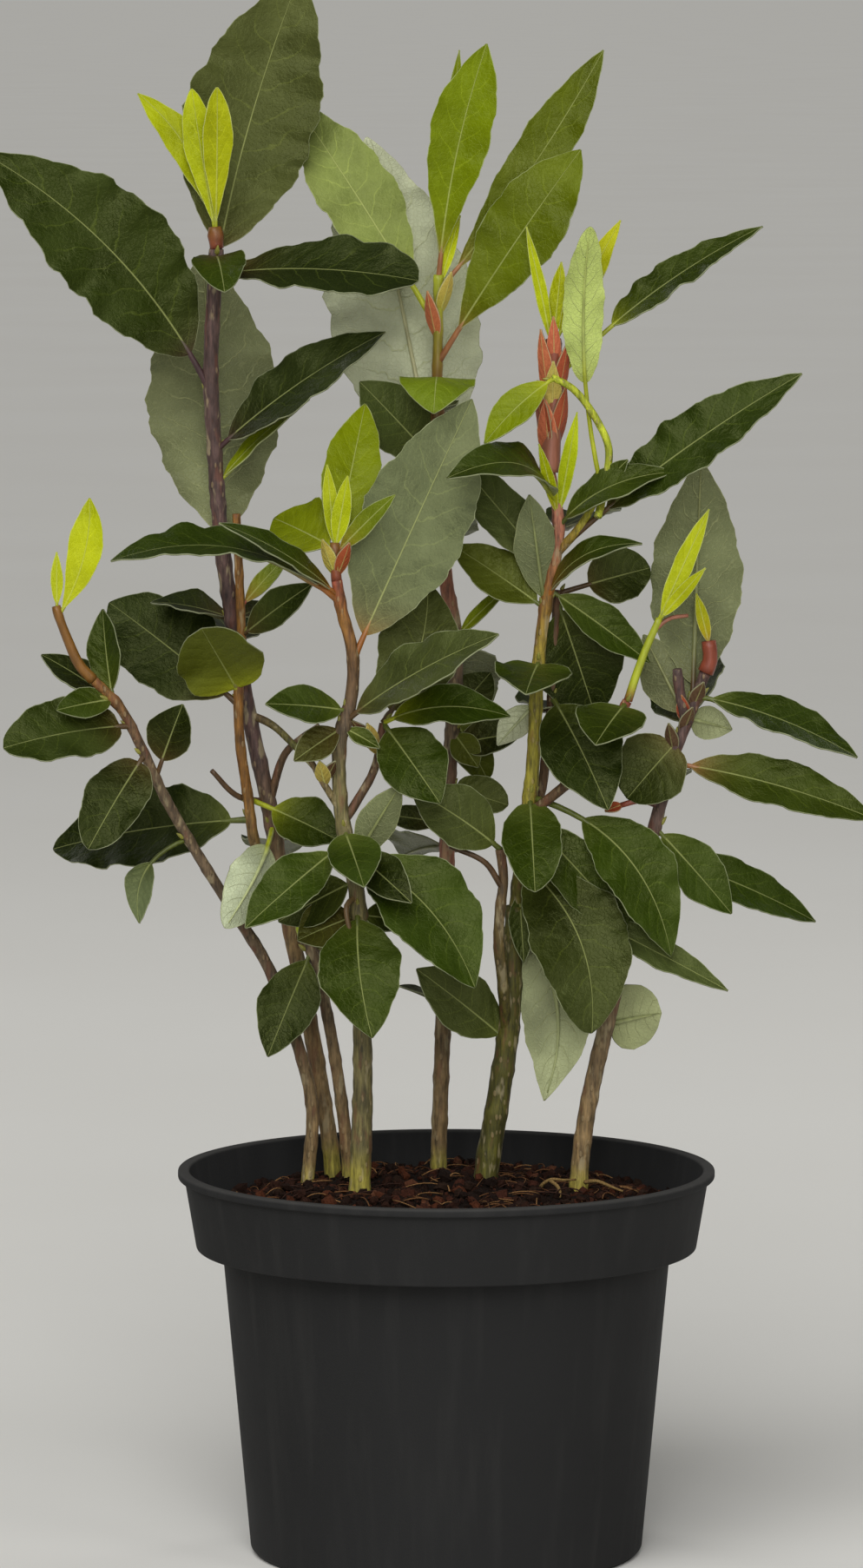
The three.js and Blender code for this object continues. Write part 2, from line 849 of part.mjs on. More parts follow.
// Height that the mix's surface adds at a place, as long low lumps.
function lumps(x, y) {
  return SOIL.bump * (Math.sin(x / 9 + 1) * Math.cos(y / 11) + 0.6 * Math.sin((x + 2 * y) / 17));
}

function pottingMix() {
  const bandFoot = POT.height - POT.bandHeight + POT.floor + GAP;
  const edge = innerRadius(SOIL.edgeHeight) - GAP;
  const top = [0.93, 0.78, 0.58, 0.36, 0.16];
  const profile = [
    [0, POT.floor + GAP],
    [innerRadius(POT.floor) - GAP, POT.floor + GAP],
    [innerRadius(bandFoot - POT.floor - 1) - GAP, bandFoot],
    [innerRadius(bandFoot) - GAP, bandFoot],
    [edge, SOIL.edgeHeight],
    ...top.map((share) => [
      edge * share,
      THREE.MathUtils.lerp(SOIL.middleHeight, SOIL.edgeHeight, share * share),
    ]),
    [0, SOIL.middleHeight],
  ];
  const points = profile.map(([radius, height]) => new THREE.Vector2(radius, height));
  const turned = new THREE.LatheGeometry(points, POT.facets).rotateX(Math.PI / 2);
  const position = turned.attributes.position;
  for (let i = 0; i < position.count; i++) {
    const [x, y, z] = [position.getX(i), position.getY(i), position.getZ(i)];
    const radius = Math.hypot(x, y);
    if (z < SOIL.edgeHeight - 0.01) continue;
    const leftness = Math.max(0, -x / Math.max(radius, 1));
    const drawnIn = radius > 0.7 * edge ? 1 - (SOIL.leftGap / edge) * leftness ** 3 : 1;
    position.setXYZ(i, x * drawnIn, y * drawnIn, z + lumps(x, y));
  }
  const holes = Object.entries(STEMS)
    .filter(([name]) => name.startsWith("stem"))
    .map(([, stem]) => rod(stem.rods[0], GAP / Math.cos(Math.PI / TUBE.sides)));
  return solidOfGeometry(turned).subtract(wasm.Manifold.union(holes));
}

// A stem or shoot with all its twigs, petioles and leaves as one body.
function spray({ rods, leaves }) {
  const blades = leaves.map((row) => {
    const [rootAcross, rootUp, tipAcross, tipUp, tipDepth, width, azimuth, elevation, form] = row;
    const root = nearestPlace(rods, rootAcross, rootUp);
    const tip = [tipAcross, tipUp, root[2] + tipDepth];
    return leaf(place(root), place(tip), width, look(azimuth, elevation), form);
  });
  return fuse([...rods.map((made) => rod(made)), ...blades]);
}

// ---------------------------------------------------------------- the assembly

const plant = new THREE.Group();
plant.name = "bay_laurel_in_pot";
const blackPlastic = new THREE.MeshStandardMaterial({ color: "#1b1b1d", roughness: 0.55 });
const peatAndCoir = new THREE.MeshStandardMaterial({ color: "#3a2720", roughness: 1 });
plant.add(meshOf("pot", pot(), blackPlastic));
plant.add(meshOf("potting_mix", pottingMix(), peatAndCoir));
for (const [name, layout] of Object.entries(STEMS)) {
  const growth = new THREE.MeshStandardMaterial({ color: layout.colour, roughness: 0.5 });
  plant.add(meshOf(name, spray(layout), growth));
}

export default plant;
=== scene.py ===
# %% [markdown]
# # A young bay laurel in a nursery pot
# The plant is a pot of potting mix with seven rooted stems, their young shoots and two buds.
# A measured model gives the place of each of these pieces. This lesson puts a finer piece in the
# place of each one: waxy leaves with veins, bark with leaf scars, crumbs of peat, moulded plastic.

# %% Load the measured model
import bpy, bmesh, math
import numpy as np
from mathutils import Matrix, Vector, noise


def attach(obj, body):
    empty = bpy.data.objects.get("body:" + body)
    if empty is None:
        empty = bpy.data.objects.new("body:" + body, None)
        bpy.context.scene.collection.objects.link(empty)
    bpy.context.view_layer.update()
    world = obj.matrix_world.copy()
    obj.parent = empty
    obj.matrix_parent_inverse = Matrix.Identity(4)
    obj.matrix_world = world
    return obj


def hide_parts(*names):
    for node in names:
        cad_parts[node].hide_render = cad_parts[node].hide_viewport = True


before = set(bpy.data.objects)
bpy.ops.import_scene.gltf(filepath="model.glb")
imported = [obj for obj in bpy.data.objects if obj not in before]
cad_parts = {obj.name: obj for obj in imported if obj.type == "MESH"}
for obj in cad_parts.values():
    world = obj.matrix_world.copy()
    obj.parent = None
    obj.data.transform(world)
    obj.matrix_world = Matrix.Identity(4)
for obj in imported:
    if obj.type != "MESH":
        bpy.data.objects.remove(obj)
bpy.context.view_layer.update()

MM = 0.001  # the layout is written in millimetres, and Blender works in metres
print("pieces of the measured model:", ", ".join(sorted(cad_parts)))

# %% [markdown]
# ## Where the eye is
# The plant is seen from two and a half metres away, a little from above, through a long lens, so
# that upright stems stay upright. The lens comes from the distance and the size of the view: a
# sensor 36 mm high behind a 183 mm lens takes in the whole plant and nearly the whole pot.

# %% Camera
EYE = dict(across=-4.7, up=505.0, distance=2500.0)
LOOKS_DOWN = 5.9432  # degrees

lens = bpy.data.cameras.new("long_lens")
lens.sensor_fit = "VERTICAL"
lens.sensor_height = 36
lens.lens = 183.158
lens.clip_end = 1000
camera = bpy.data.objects.new("camera", lens)
camera.location = (EYE["across"] * MM, -EYE["distance"] * MM, EYE["up"] * MM)
camera.rotation_euler = (math.radians(90 - LOOKS_DOWN), 0, 0)
bpy.context.scene.collection.objects.link(camera)
bpy.context.scene.camera = camera
print("camera at", tuple(round(x, 3) for x in camera.location), "with a", lens.lens, "mm lens")

# %% [markdown]
# ## One function for colours, one for nodes
# Colours are written as sRGB hex values, but a shader adds and multiplies light, so it wants
# linear numbers. The node helper makes one node, writes its settings and fills its sockets. Given
# another node, it links that node's first open output, which keeps each material below short
# enough to read from top to bottom. Sockets that share a name go by number: a Mix node's colours
# are 6 and 7, and a Map Range node reads from 1 to 2 and gives from 3 to 4. A pattern's Scale
# counts its repeats in a metre, so it is worked out from the pattern's size in millimetres.

# %% Colour and node helpers
def linear(code):
    """An sRGB hex colour as linear red, green, blue and alpha."""
    channels = [int(code[i:i + 2], 16) / 255 for i in (1, 3, 5)]
    return [c / 12.92 if c <= 0.04045 else ((c + 0.055) / 1.055) ** 2.4 for c in channels] + [1.0]


def repeats(size):
    """The Scale of a pattern that repeats after this many millimetres."""
    return float(round(1 / (size * MM)))


def add(material, kind, sockets=None, **settings):
    """Adds one node to a material: settings are its fields, sockets are values or links."""
    tree = material.node_tree
    made = tree.nodes.new("ShaderNode" + kind)
    for name, value in settings.items():
        setattr(made, name, value)
    for name, value in (sockets or {}).items():
        if isinstance(value, bpy.types.Node):
            value = next(output for output in value.outputs if output.enabled)
        if isinstance(value, bpy.types.NodeSocket):
            tree.links.new(value, made.inputs[name])
        else:
            made.inputs[name].default_value = value
    return made


def empty_material(name):
    """A material with no nodes in it yet."""
    material = bpy.data.materials.new(name)
    material.use_nodes = True
    material.node_tree.nodes.clear()
    return material


def surface(material, sockets):
    """Closes a material: its Principled shader with these sockets, joined to the output."""
    shader = add(material, "BsdfPrincipled", sockets)
    add(material, "OutputMaterial", {"Surface": shader})
    print(material.name, "has", len(material.node_tree.nodes), "nodes")


print("white is", linear("#ffffff"), "and a grain of half a millimetre has scale", repeats(0.5))

# %% [markdown]
# ## Floor and light
# A growing plant in a catalogue stands on a pale sweep of paper under big soft lamps. One broad
# sun stands in for the soft box high on the left, since it lights near and far floor alike, and
# a faint pale sky fills the shadows. A tall panel behind the eye gives the pot its soft middle
# light, a weaker one lights the right flank, and two faint strips behind give the leaves a thin
# edge.

# %% Floor and sky
def finished(name, bm, materials):
    """A bmesh made into an object of the scene, in these materials."""
    print(name, "has", sum(len(f.verts) - 2 for f in bm.faces), "triangles")
    mesh = bpy.data.meshes.new(name)
    bm.to_mesh(mesh)
    bm.free()
    for material in materials:
        mesh.materials.append(material)
    made = bpy.data.objects.new(name, mesh)
    bpy.context.scene.collection.objects.link(made)
    return made


paper = empty_material("matt_studio_paper")
spot = add(paper, "TexCoord").outputs["Object"]
mottle = add(paper, "TexNoise", {"Vector": spot, "Scale": repeats(333), "Detail": 4.0})
shade = add(paper, "Mix", {0: mottle, 6: linear("#dedcd6"), 7: linear("#e4e3de")},
            data_type="RGBA")
surface(paper, {"Base Color": shade, "Roughness": 0.9})

bm = bmesh.new()
bmesh.ops.create_grid(bm, x_segments=8, y_segments=8, size=250)
floor = finished("floor", bm, [paper])

sky = bpy.data.worlds.new("pale_sky")
sky.use_nodes = True
background = sky.node_tree.nodes["Background"].inputs
background["Color"].default_value = linear("#efeeea")
background["Strength"].default_value = 0.1
bpy.context.scene.world = sky
bpy.context.scene.view_settings.view_transform = "Standard"

# %% Lamps
def lamp(name, kind, energy, location, aim, **settings):
    """A lamp at a place that looks at another place, both in metres."""
    light = bpy.data.lights.new(name, kind)
    light.energy = energy
    for field, value in settings.items():
        setattr(light, field, value)
    made = bpy.data.objects.new(name, light)
    made.location = location
    made.rotation_euler = (Vector(aim) - Vector(location)).to_track_quat("-Z", "Y").to_euler()
    bpy.context.scene.collection.objects.link(made)


lamp("key_softbox", "SUN", 2.0, (-0.9, -2.4, 3.0), (0, 0, 0.25), angle=math.radians(50))
for name, energy, location, aim_height, width, height in (
        ("front_panel", 23, (0.1, -2.6, 1.1), 0.2, 0.9, 1.5),
        ("right_panel", 7, (1.5, -1.5, 1.2), 0.3, 0.6, 1.0),
        ("back_strip", 3, (-1.1, 1.2, 1.1), 0.35, 0.4, 1.4),
        ("back_strip", 3, (1.1, 1.2, 1.1), 0.35, 0.4, 1.4)):
    lamp(name, "AREA", energy, location, (0, 0, aim_height), shape="RECTANGLE", size=width,
         size_y=height)

# %% [markdown]
# ## Leaf colours
# Bay leaves start yellow-green and soft, turn light green as they stiffen, and end dark and waxy.
# Each kind of leaf here has the colour of the face that is turned to the eye, and a leaf turned
# away keeps a dark green upper face. A few kinds also carry painted light: two grey-green kinds are
# lightened as painted sheen, one young kind is darkened as painted shade, and the palest underside
# is brightened as painted light. Each kind of stalk has its own colour, from yellow to brown.
# A leaf's colour is kept on its points, so that five materials serve the whole plant. The fourth
# number on each point is a seeded number of the leaf's own, larger on longer leaves, which says
# how many side veins it has.

# %% Palette of leaves, stalks and bark
LEAF_COLOURS = {
    "dark": "#121b01", "gloss": "#202b05", "deep": "#1b2406", "green": "#233003",
    # The sage and silver kinds are grey-green lightened as painted sheen, for leaves that catch
    # lamps.
    "dull": "#232b0a", "sage": "#3b421e", "silver": "#5c6346", "olive": "#3d4209",
    "brownish": "#383610", "bright_green": "#2a3605", "light": "#5a690e", "young": "#626f00",
    # The darker young kind is the young colour with painted shade, for young leaves facing the
    # lamps.
    "young_dim": "#4a5600", "fresh": "#808a46", "yellow": "#98a008", "red": "#8a3a24",
    # The palest underside is partly the underside's own grey-green and partly painted light and
    # sheen.
    "grey_under": "#4c5338", "pale_under": "#c2c8aa", "bright_pale": "#a0a67e",
    "bright_under": "#9cae54", "bract_red": "#8c3a28", "bract_pink": "#a8583e",
    "bract_cream": "#a89448", "scale": "#4a3024",
}
STALK_COLOURS = {
    "brown": "#4f3a20", "purple": "#41292a", "green": "#565e22", "yellow": "#9aa01c",
    "pink": "#92603a", "orange": "#8a5420", "red": "#8c3a24",
}
STEM_COLOURS = {
    "heel": "#8a8034", "purple bark": "#4a3732", "brown bark": "#553f28", "grey bark": "#5c4c38",
    "tan bark": "#78623f", "straw bark": "#625a36", "green bark": "#454210",
    "dead bark": "#5c452a", "olive rind": "#5c6224", "golden rind": "#837a26",
    "orange rind": "#76501f", "red rind": "#7d3c28", "pink rind": "#96604a",
    "yellow rind": "#98a026", "bud": "#98a81a",
}
print(len(LEAF_COLOURS), "kinds of leaf,", len(STEM_COLOURS), "kinds of bark and rind")

# %% [markdown]
# ## The leaf's upper face
# *Material: bay leaf, grown.* A thick waxy cuticle over dark green tissue: broad soft highlights,
# about as rough as eggshell, IOR 1.4 for plant wax, which lends its shine a yellowish tint.
# Here and there paler grey-green patches are painted in, partly a thin bloom of wax and partly
# painted sheen of the highlights. The midrib shows as a pale line, five to nine side veins in each
# half curve forward from it to the margin, and the blade swells a little between them. Between the
# side veins lies a net about a millimetre wide. The vein lines are drawn from the blade's own map:
# u runs across it and v from its base to its tip. A second map holds the distance from the midrib
# and from the margin in millimetres, so that these two lines stay as thin on a big leaf as on a
# small one.

# %% Vein pattern, shared by both faces
def vein_pattern(material):
    """Midrib, side veins, swelling between them, margin and fine net, each from 0 to 1."""
    u_v = add(material, "SeparateXYZ", {0: add(material, "UVMap", uv_map="blade")})
    gaps = add(material, "SeparateXYZ", {0: add(material, "UVMap", uv_map="gaps")})
    own = add(material, "Attribute", attribute_name="tint")
    spot = add(material, "TexCoord").outputs["Object"]
    signed = add(material, "Math", {0: u_v.outputs["X"], 1: 2.0, 2: -1.0},
                 operation="MULTIPLY_ADD")
    away = add(material, "Math", {0: signed}, operation="ABSOLUTE")
    side = add(material, "Math", {0: signed}, operation="SIGN")
    waver = add(material, "TexNoise", {"Vector": spot, "Scale": repeats(9.1), "Detail": 3.0})
    count = add(material, "Math", {0: own.outputs["Alpha"], 1: 4.5, 2: 5.0},
                operation="MULTIPLY_ADD")
    phase = add(material, "Math", {0: u_v.outputs["Y"], 1: count}, operation="MULTIPLY")
    forward = add(material, "Math", {0: away, 1: 1.4}, operation="POWER")
    for shift, share in ((forward, -1.5), (side, 0.22), (waver, 1.1)):
        phase = add(material, "Math", {0: shift, 1: share, 2: phase}, operation="MULTIPLY_ADD")
    between = add(material, "Math", {0: phase, 1: 0.5}, operation="PINGPONG")
    fade = add(material, "MapRange", {0: away, 1: 0.45, 2: 0.95, 3: 1.0, 4: 0.0})
    line = add(material, "MapRange", {0: between, 1: 0.0, 2: 0.055, 3: 1.0, 4: 0.0},
               interpolation_type="SMOOTHSTEP")
    vein = add(material, "Math", {0: line, 1: fade}, operation="MULTIPLY")
    swell = add(material, "MapRange", {0: between, 1: 0.0, 2: 0.45},
                interpolation_type="SMOOTHSTEP")
    taper = add(material, "MapRange", {0: u_v.outputs["Y"], 1: 0.0, 2: 0.95, 3: 0.46, 4: 0.16})
    nearness = add(material, "Math", {0: gaps.outputs["X"], 1: taper}, operation="DIVIDE")
    midrib = add(material, "MapRange", {0: nearness, 1: 0.35, 2: 1.0, 3: 1.0, 4: 0.0},
                 interpolation_type="SMOOTHSTEP")
    frayed = add(material, "MapRange", {0: waver, 1: 0.35, 2: 0.65, 3: 0.12, 4: 0.42})
    margin = add(material, "MapRange", {0: gaps.outputs["Y"], 1: 0.0, 2: frayed, 3: 1.0, 4: 0.0},
                 interpolation_type="SMOOTHSTEP")
    cells = add(material, "TexVoronoi", {"Vector": spot, "Scale": repeats(4 / 3)},
                feature="DISTANCE_TO_EDGE")
    net = add(material, "MapRange", {0: cells, 1: 0.0, 2: 0.12, 3: 1.0, 4: 0.0})
    return dict(spot=spot, tint=own.outputs["Color"], midrib=midrib, vein=vein, swell=swell,
                margin=margin, net=net)


# %% Upper face's colour
upper = empty_material("bay_leaf_waxy_upper_face")
p = vein_pattern(upper)
blotch = add(upper, "TexNoise", {"Vector": p["spot"], "Scale": repeats(16.7), "Detail": 5.0,
                                 "Roughness": 0.6})
strength = add(upper, "MapRange", {0: blotch, 1: 0.3, 2: 0.7, 3: 0.74, 4: 1.28})
colour = add(upper, "VectorMath", {0: p["tint"], "Scale": strength}, operation="SCALE")
paler = add(upper, "VectorMath", {0: p["tint"], 1: (1.5, 1.45, 1.4), 2: (0.045, 0.055, 0.008)},
            operation="MULTIPLY_ADD")
# A lighter grey-green for the patches below: partly wax bloom, partly painted sheen.
bloom_and_sheen_colour = add(upper, "VectorMath", {0: p["tint"], 1: (1.7, 1.6, 1.7), 2: (0.03, 0.036, 0.014)},
            operation="MULTIPLY_ADD")
pale_rib = add(upper, "Mix", {0: 0.55, 6: paler, 7: linear("#a4a96c")}, data_type="RGBA")
# The pale margin colour is partly the horny rim's own colour and partly a painted rim highlight.
pale_rim_and_rim_highlight = add(upper, "Mix", {0: 0.62, 6: paler, 7: linear("#b9be98")}, data_type="RGBA")
lines = add(upper, "Math", {0: p["net"], 1: 0.12}, operation="MULTIPLY")
lines = add(upper, "Math", {0: p["vein"], 1: 0.5, 2: lines}, operation="MULTIPLY_ADD")
rib = add(upper, "Math", {0: p["midrib"], 1: 0.85}, operation="MULTIPLY")
rim = add(upper, "Math", {0: p["margin"], 1: 0.8}, operation="MULTIPLY")
# Paler patches here and there: partly a thin bloom of wax, partly painted sheen of the highlights.
bloom_and_sheen_noise = add(upper, "TexNoise", {"Vector": p["spot"], "Scale": repeats(29.4), "Detail": 2.0})
bloom_and_sheen = add(upper, "MapRange", {0: bloom_and_sheen_noise, 1: 0.5, 2: 0.7, 3: 0.0, 4: 0.4})
for cover, other in ((lines, paler), (rib, pale_rib), (rim, pale_rim_and_rim_highlight), (bloom_and_sheen, bloom_and_sheen_colour)):
    colour = add(upper, "Mix", {0: cover, 6: colour, 7: other}, data_type="RGBA")

# %% Upper face's shine and relief
gloss = add(upper, "MapRange", {0: blotch, 1: 0.3, 2: 0.75, 3: 0.3, 4: 0.5})
cockle = add(upper, "TexNoise", {"Vector": p["spot"], "Scale": repeats(4.35), "Detail": 3.0})
grain = add(upper, "TexNoise", {"Vector": p["spot"], "Scale": repeats(0.909), "Detail": 3.0})
height = 0.0
for part, share in ((p["swell"], 0.16), (cockle, 1.4), (p["midrib"], 0.35), (p["net"], -0.09),
                    (grain, 0.12)):
    height = add(upper, "Math", {0: part, 1: share, 2: height}, operation="MULTIPLY_ADD")
relief = add(upper, "Bump", {"Height": height, "Distance": 0.6 * MM, "Strength": 0.75})
surface(upper, {"Base Color": colour, "Roughness": gloss, "IOR": 1.4,
                "Specular Tint": linear("#d2da92"), "Normal": relief})

# %% [markdown]
# ## The leaf's underside
# *Material: bay leaf, underside.* No wax to speak of, so it is paler, greyer and more matt, and
# here the net and the side veins stand up instead of lying in grooves. The same pattern serves,
# with its relief turned over. Its broad lighter blotches are partly its own uneven tone and partly
# painted sheen.

# %% Underside
under = empty_material("bay_leaf_matt_underside")
p = vein_pattern(under)
# Broad lighter and darker blotches: partly the underside's uneven tone, partly painted sheen.
blotch = add(under, "TexNoise", {"Vector": p["spot"], "Scale": repeats(18.2), "Detail": 4.0})
greyer = add(under, "Mix", {0: 0.3, 6: p["tint"], 7: linear("#8f9464")}, data_type="RGBA")
strength = add(under, "MapRange", {0: blotch, 1: 0.3, 2: 0.7, 3: 0.68, 4: 1.36})
blade = add(under, "VectorMath", {0: greyer, "Scale": strength}, operation="SCALE")
lines = 0.0
# The margin's pale line here is partly the horny rim and partly a painted rim highlight.
for part, share in ((p["net"], 0.16), (p["vein"], 0.4), (p["margin"], 0.6)):
    lines = add(under, "Math", {0: part, 1: share, 2: lines}, operation="MULTIPLY_ADD",
                use_clamp=True)
colour = add(under, "Mix", {0: lines, 6: blade, 7: linear("#a9ac78")}, data_type="RGBA")
height = add(under, "TexNoise", {"Vector": p["spot"], "Scale": repeats(5.88), "Detail": 2.0})
for part, share in ((p["net"], 0.25), (p["vein"], 0.6)):
    height = add(under, "Math", {0: part, 1: share, 2: height}, operation="MULTIPLY_ADD")
relief = add(under, "Bump", {"Height": height, "Distance": 0.5 * MM, "Strength": 0.7})
surface(under, {"Base Color": colour, "Roughness": 0.46, "IOR": 1.42,
                "Specular Tint": linear("#e6e8c6"), "Normal": relief})

# %% [markdown]
# ## Margin, rind and bark
# *Margin:* the leaf's thickened rim is horny and pale, and the fine light line round the leaf is
# partly that pale colour and partly a painted highlight where light grazes the edge.
# *Rind:* young stalks and shoots are smooth, a little waxy, and flushed along their length.
# *Bark:* older stems have thin dull bark with long fine cracks, flakes of reddish skin with cream
# wood between them, and pale raised pores, called lenticels, a millimetre or two long. Grown, not
# made, so nothing repeats: noise does the work.

# %% Margin
margin = empty_material("bay_leaf_horny_margin_and_rim_highlight")
tint = add(margin, "Attribute", attribute_name="tint")
spot = add(margin, "TexCoord").outputs["Object"]
fleck = add(margin, "TexNoise", {"Vector": spot, "Scale": repeats(3.33)})
share = add(margin, "MapRange", {0: fleck, 1: 0.35, 2: 0.65, 3: 0.75, 4: 1.1})
# The pale mix is partly the horny rim's own colour and partly a painted highlight along the edge.
pale = add(margin, "Mix", {0: 0.5, 6: tint, 7: linear("#b4b98e")}, data_type="RGBA")
colour = add(margin, "VectorMath", {0: pale, "Scale": share}, operation="SCALE")
surface(margin, {"Base Color": colour, "Roughness": 0.5, "IOR": 1.45})

# %% Rind of stalks and shoots
rind = empty_material("smooth_green_rind")
tint = add(rind, "Attribute", attribute_name="tint")
spot = add(rind, "TexCoord").outputs["Object"]
drawn_out = add(rind, "Mapping", {"Vector": spot, "Scale": (1.0, 1.0, 0.25)})
flush = add(rind, "TexNoise", {"Vector": drawn_out, "Scale": repeats(2.38), "Detail": 3.0})
share = add(rind, "MapRange", {0: flush, 1: 0.3, 2: 0.7, 3: 0.72, 4: 1.25})
colour = add(rind, "VectorMath", {0: tint, "Scale": share}, operation="SCALE")
relief = add(rind, "Bump", {"Height": flush, "Distance": 0.2 * MM, "Strength": 0.5})
surface(rind, {"Base Color": colour, "Roughness": 0.42, "IOR": 1.45, "Normal": relief})

# %% Bark's patterns
bark = empty_material("thin_dull_bark")
tint = add(bark, "Attribute", attribute_name="tint")
spot = add(bark, "TexCoord").outputs["Object"]
streak_map = add(bark, "Mapping", {"Vector": spot, "Scale": (1.0, 1.0, 0.14)})
streak = add(bark, "TexNoise", {"Vector": streak_map, "Scale": repeats(1.053), "Detail": 4.0,
                                "Roughness": 0.65})
patch = add(bark, "TexNoise", {"Vector": spot, "Scale": repeats(7.7), "Detail": 3.0})
flake_map = add(bark, "Mapping", {"Vector": spot, "Scale": (1.0, 1.0, 0.3)})
flakes = add(bark, "TexNoise", {"Vector": flake_map, "Scale": repeats(3.23), "Detail": 3.0})
pore_map = add(bark, "Mapping", {"Vector": spot, "Scale": (1.0, 1.0, 0.5)})
pores = add(bark, "TexVoronoi", {"Vector": pore_map, "Scale": repeats(2.38)})
pore = add(bark, "MapRange", {0: pores, 1: 0.16, 2: 0.26, 3: 1.0, 4: 0.0},
           interpolation_type="SMOOTHSTEP")

# %% Bark's colour and relief
streaky = add(bark, "MapRange", {0: streak, 1: 0.32, 2: 0.68, 3: 0.4, 4: 1.7})
patchy = add(bark, "MapRange", {0: patch, 1: 0.3, 2: 0.7, 3: 0.75, 4: 1.3})
strength = add(bark, "Math", {0: streaky, 1: patchy}, operation="MULTIPLY")
colour = add(bark, "VectorMath", {0: tint, "Scale": strength}, operation="SCALE")
reddish = add(bark, "MapRange", {0: flakes, 1: 0.56, 2: 0.66, 3: 0.0, 4: 0.45})
cream = add(bark, "MapRange", {0: flakes, 1: 0.4, 2: 0.33, 3: 0.0, 4: 0.5})
dotted = add(bark, "Math", {0: pore, 1: 0.45}, operation="MULTIPLY")
for cover, other in ((reddish, "#6e3f2c"), (cream, "#a89a76"), (dotted, "#9a8560")):
    colour = add(bark, "Mix", {0: cover, 6: colour, 7: linear(other)}, data_type="RGBA")
height = add(bark, "Math", {0: pore, 1: 0.5, 2: streak}, operation="MULTIPLY_ADD")
relief = add(bark, "Bump", {"Height": height, "Distance": 0.4 * MM, "Strength": 0.8})
surface(bark, {"Base Color": colour, "Roughness": 0.66, "IOR": 1.45, "Normal": relief})
PLANT_MATERIALS = [upper, under, margin, rind, bark]
UPPER, UNDER, MARGIN, RIND, BARK = range(5)

# %% [markdown]
# ## The plant's layout
# Stems and leaves are laid out in a front view, in millimetres: across, up, and depth behind the
# middle of the pot. A rod is (radius at its foot and top), its colour or its colours as (share of
# its length, name), and a route of places. A leaf is its kind, its stalk, the place where it
# leaves the stem, the place of its tip, the tip's depth from the stem, its width, and the
# direction that its upper face looks in, as azimuth and elevation. Some leaves end with how they
# differ from a plain one: arch and sweep bend the midrib, blunt rounds the tip, widest shifts the
# broadest place, petiole is the share that is stalk, wave and fold change the margins.

# %% Stems and leaves, stem by stem
LAYOUT = {}

# %% Tall stem on the left, behind
LAYOUT["stem_left_tall"] = dict(rods=[
    ((2.7, 2.3), [(0, "heel"), (0.085, "heel"), (0.11, "tan bark"), (0.34, "tan bark"),
                  (0.5, "purple bark"), (1, "purple bark")],
     [(-36, 98, 30), (-36, 122, 30), (-40, 150, 30), (-44, 173, 30), (-50, 203, 29), (-56, 238, 27),
      (-62.5, 268, 25), (-66.5, 292, 24), (-70.5, 320, 22), (-73, 353, 21), (-73.9, 375, 20),
      (-72, 413, 19)]),
    ((1.8, 1.3), [(0, "straw bark"), (0.3, "orange rind"), (1, "orange rind")],
     [(-52, 212, 28.5), (-57.5, 218, 25), (-60.7, 227, 22), (-62.5, 240, 21), (-65, 258, 20),
      (-65.5, 272, 20), (-64.5, 288, 19), (-66, 330, 17)]),
    ((1.4, 1.1), "brown bark",
     [(-56, 238, 27), (-51, 254, 24), (-46, 259, 22), (-40, 263, 20)]),
    ((1.3, 1), [(0, "brown bark"), (1, "olive rind")],
     [(-62.5, 267, 25), (-55, 263.5, 22), (-48, 257, 18), (-41.5, 250, 12)]),
    ((1.1, 0.8), "brown bark",
     [(-56.5, 239, 27), (-66, 241, 22), (-74, 249, 18)]),
], leaves=[
    ("gloss", "purple", -76, 369, -145, 443, -5, 37, 0, 22,
     dict(arch=0.04, sweep=0.07, petiole=0.13, widest=0.42)),
    ("sage", "brown", -69, 404, -45, 500, 25, 42, 0, 10, dict(arch=-0.06, sweep=-0.03)),
    ("deep", "pink", -71.5, 404, -8.8, 403, -25, 26, 0, 50,
     dict(arch=0.05, petiole=0.02, widest=0.66, blunt=1.2)),
    ("green", "brown", -72, 411, -69.5, 399.5, -28, 17, 0, 48, dict(arch=0.12, blunt=0.8)),
    ("grey_under", "purple", -70, 315, -76.5, 411, 25, 42, 180, 0, dict(arch=0.06, widest=0.5)),
    ("deep", "purple", -71, 350, -19, 387, -8, 22, 0, 50, dict(arch=0.05)),
    ("young", "yellow", -69, 338, -43, 366, 4, 8, 0, 70, dict(arch=0.05)),
    ("dark", "brown", -66, 270, -106, 302, 22, 31, 0, 20, dict(arch=0.05, blunt=0.3)),
    ("dark", "brown", -66, 297, -93, 302, 5, 20, 0, 78, dict(arch=0.05)),
    ("dark", "brown", -66, 297, -53, 301, 8, 13, 0, 75),
    ("gloss", "brown", -63, 291, -42, 308, -10, 12, 0, 30),
    ("light", "red", -65, 300, -49, 318, 5, 6, 0, 30),
    ("olive", "yellow", -66, 274, -77, 294, -14, 28, 0, -35, dict(arch=0, blunt=1.2, petiole=0.05)),
    ("dark", "green", -61, 234, -124, 224, 18, 30, 0, 38, dict(arch=0.05, blunt=0.5)),
    ("green", "yellow", -61.5, 240, -33.5, 226.5, -15, 18, 0, 35, dict(petiole=0.25)),
    ("pale_under", "yellow", -58, 232, -70, 199, -30, 16, 180, 20,
     dict(arch=-0.12, blunt=0.8, petiole=0.25)),
    ("deep", "brown", -66, 290, -76, 300, 45, 26, 180, 45),
    ("deep", "brown", -55, 225, -52, 222, 42, 24, 180, 50),
])

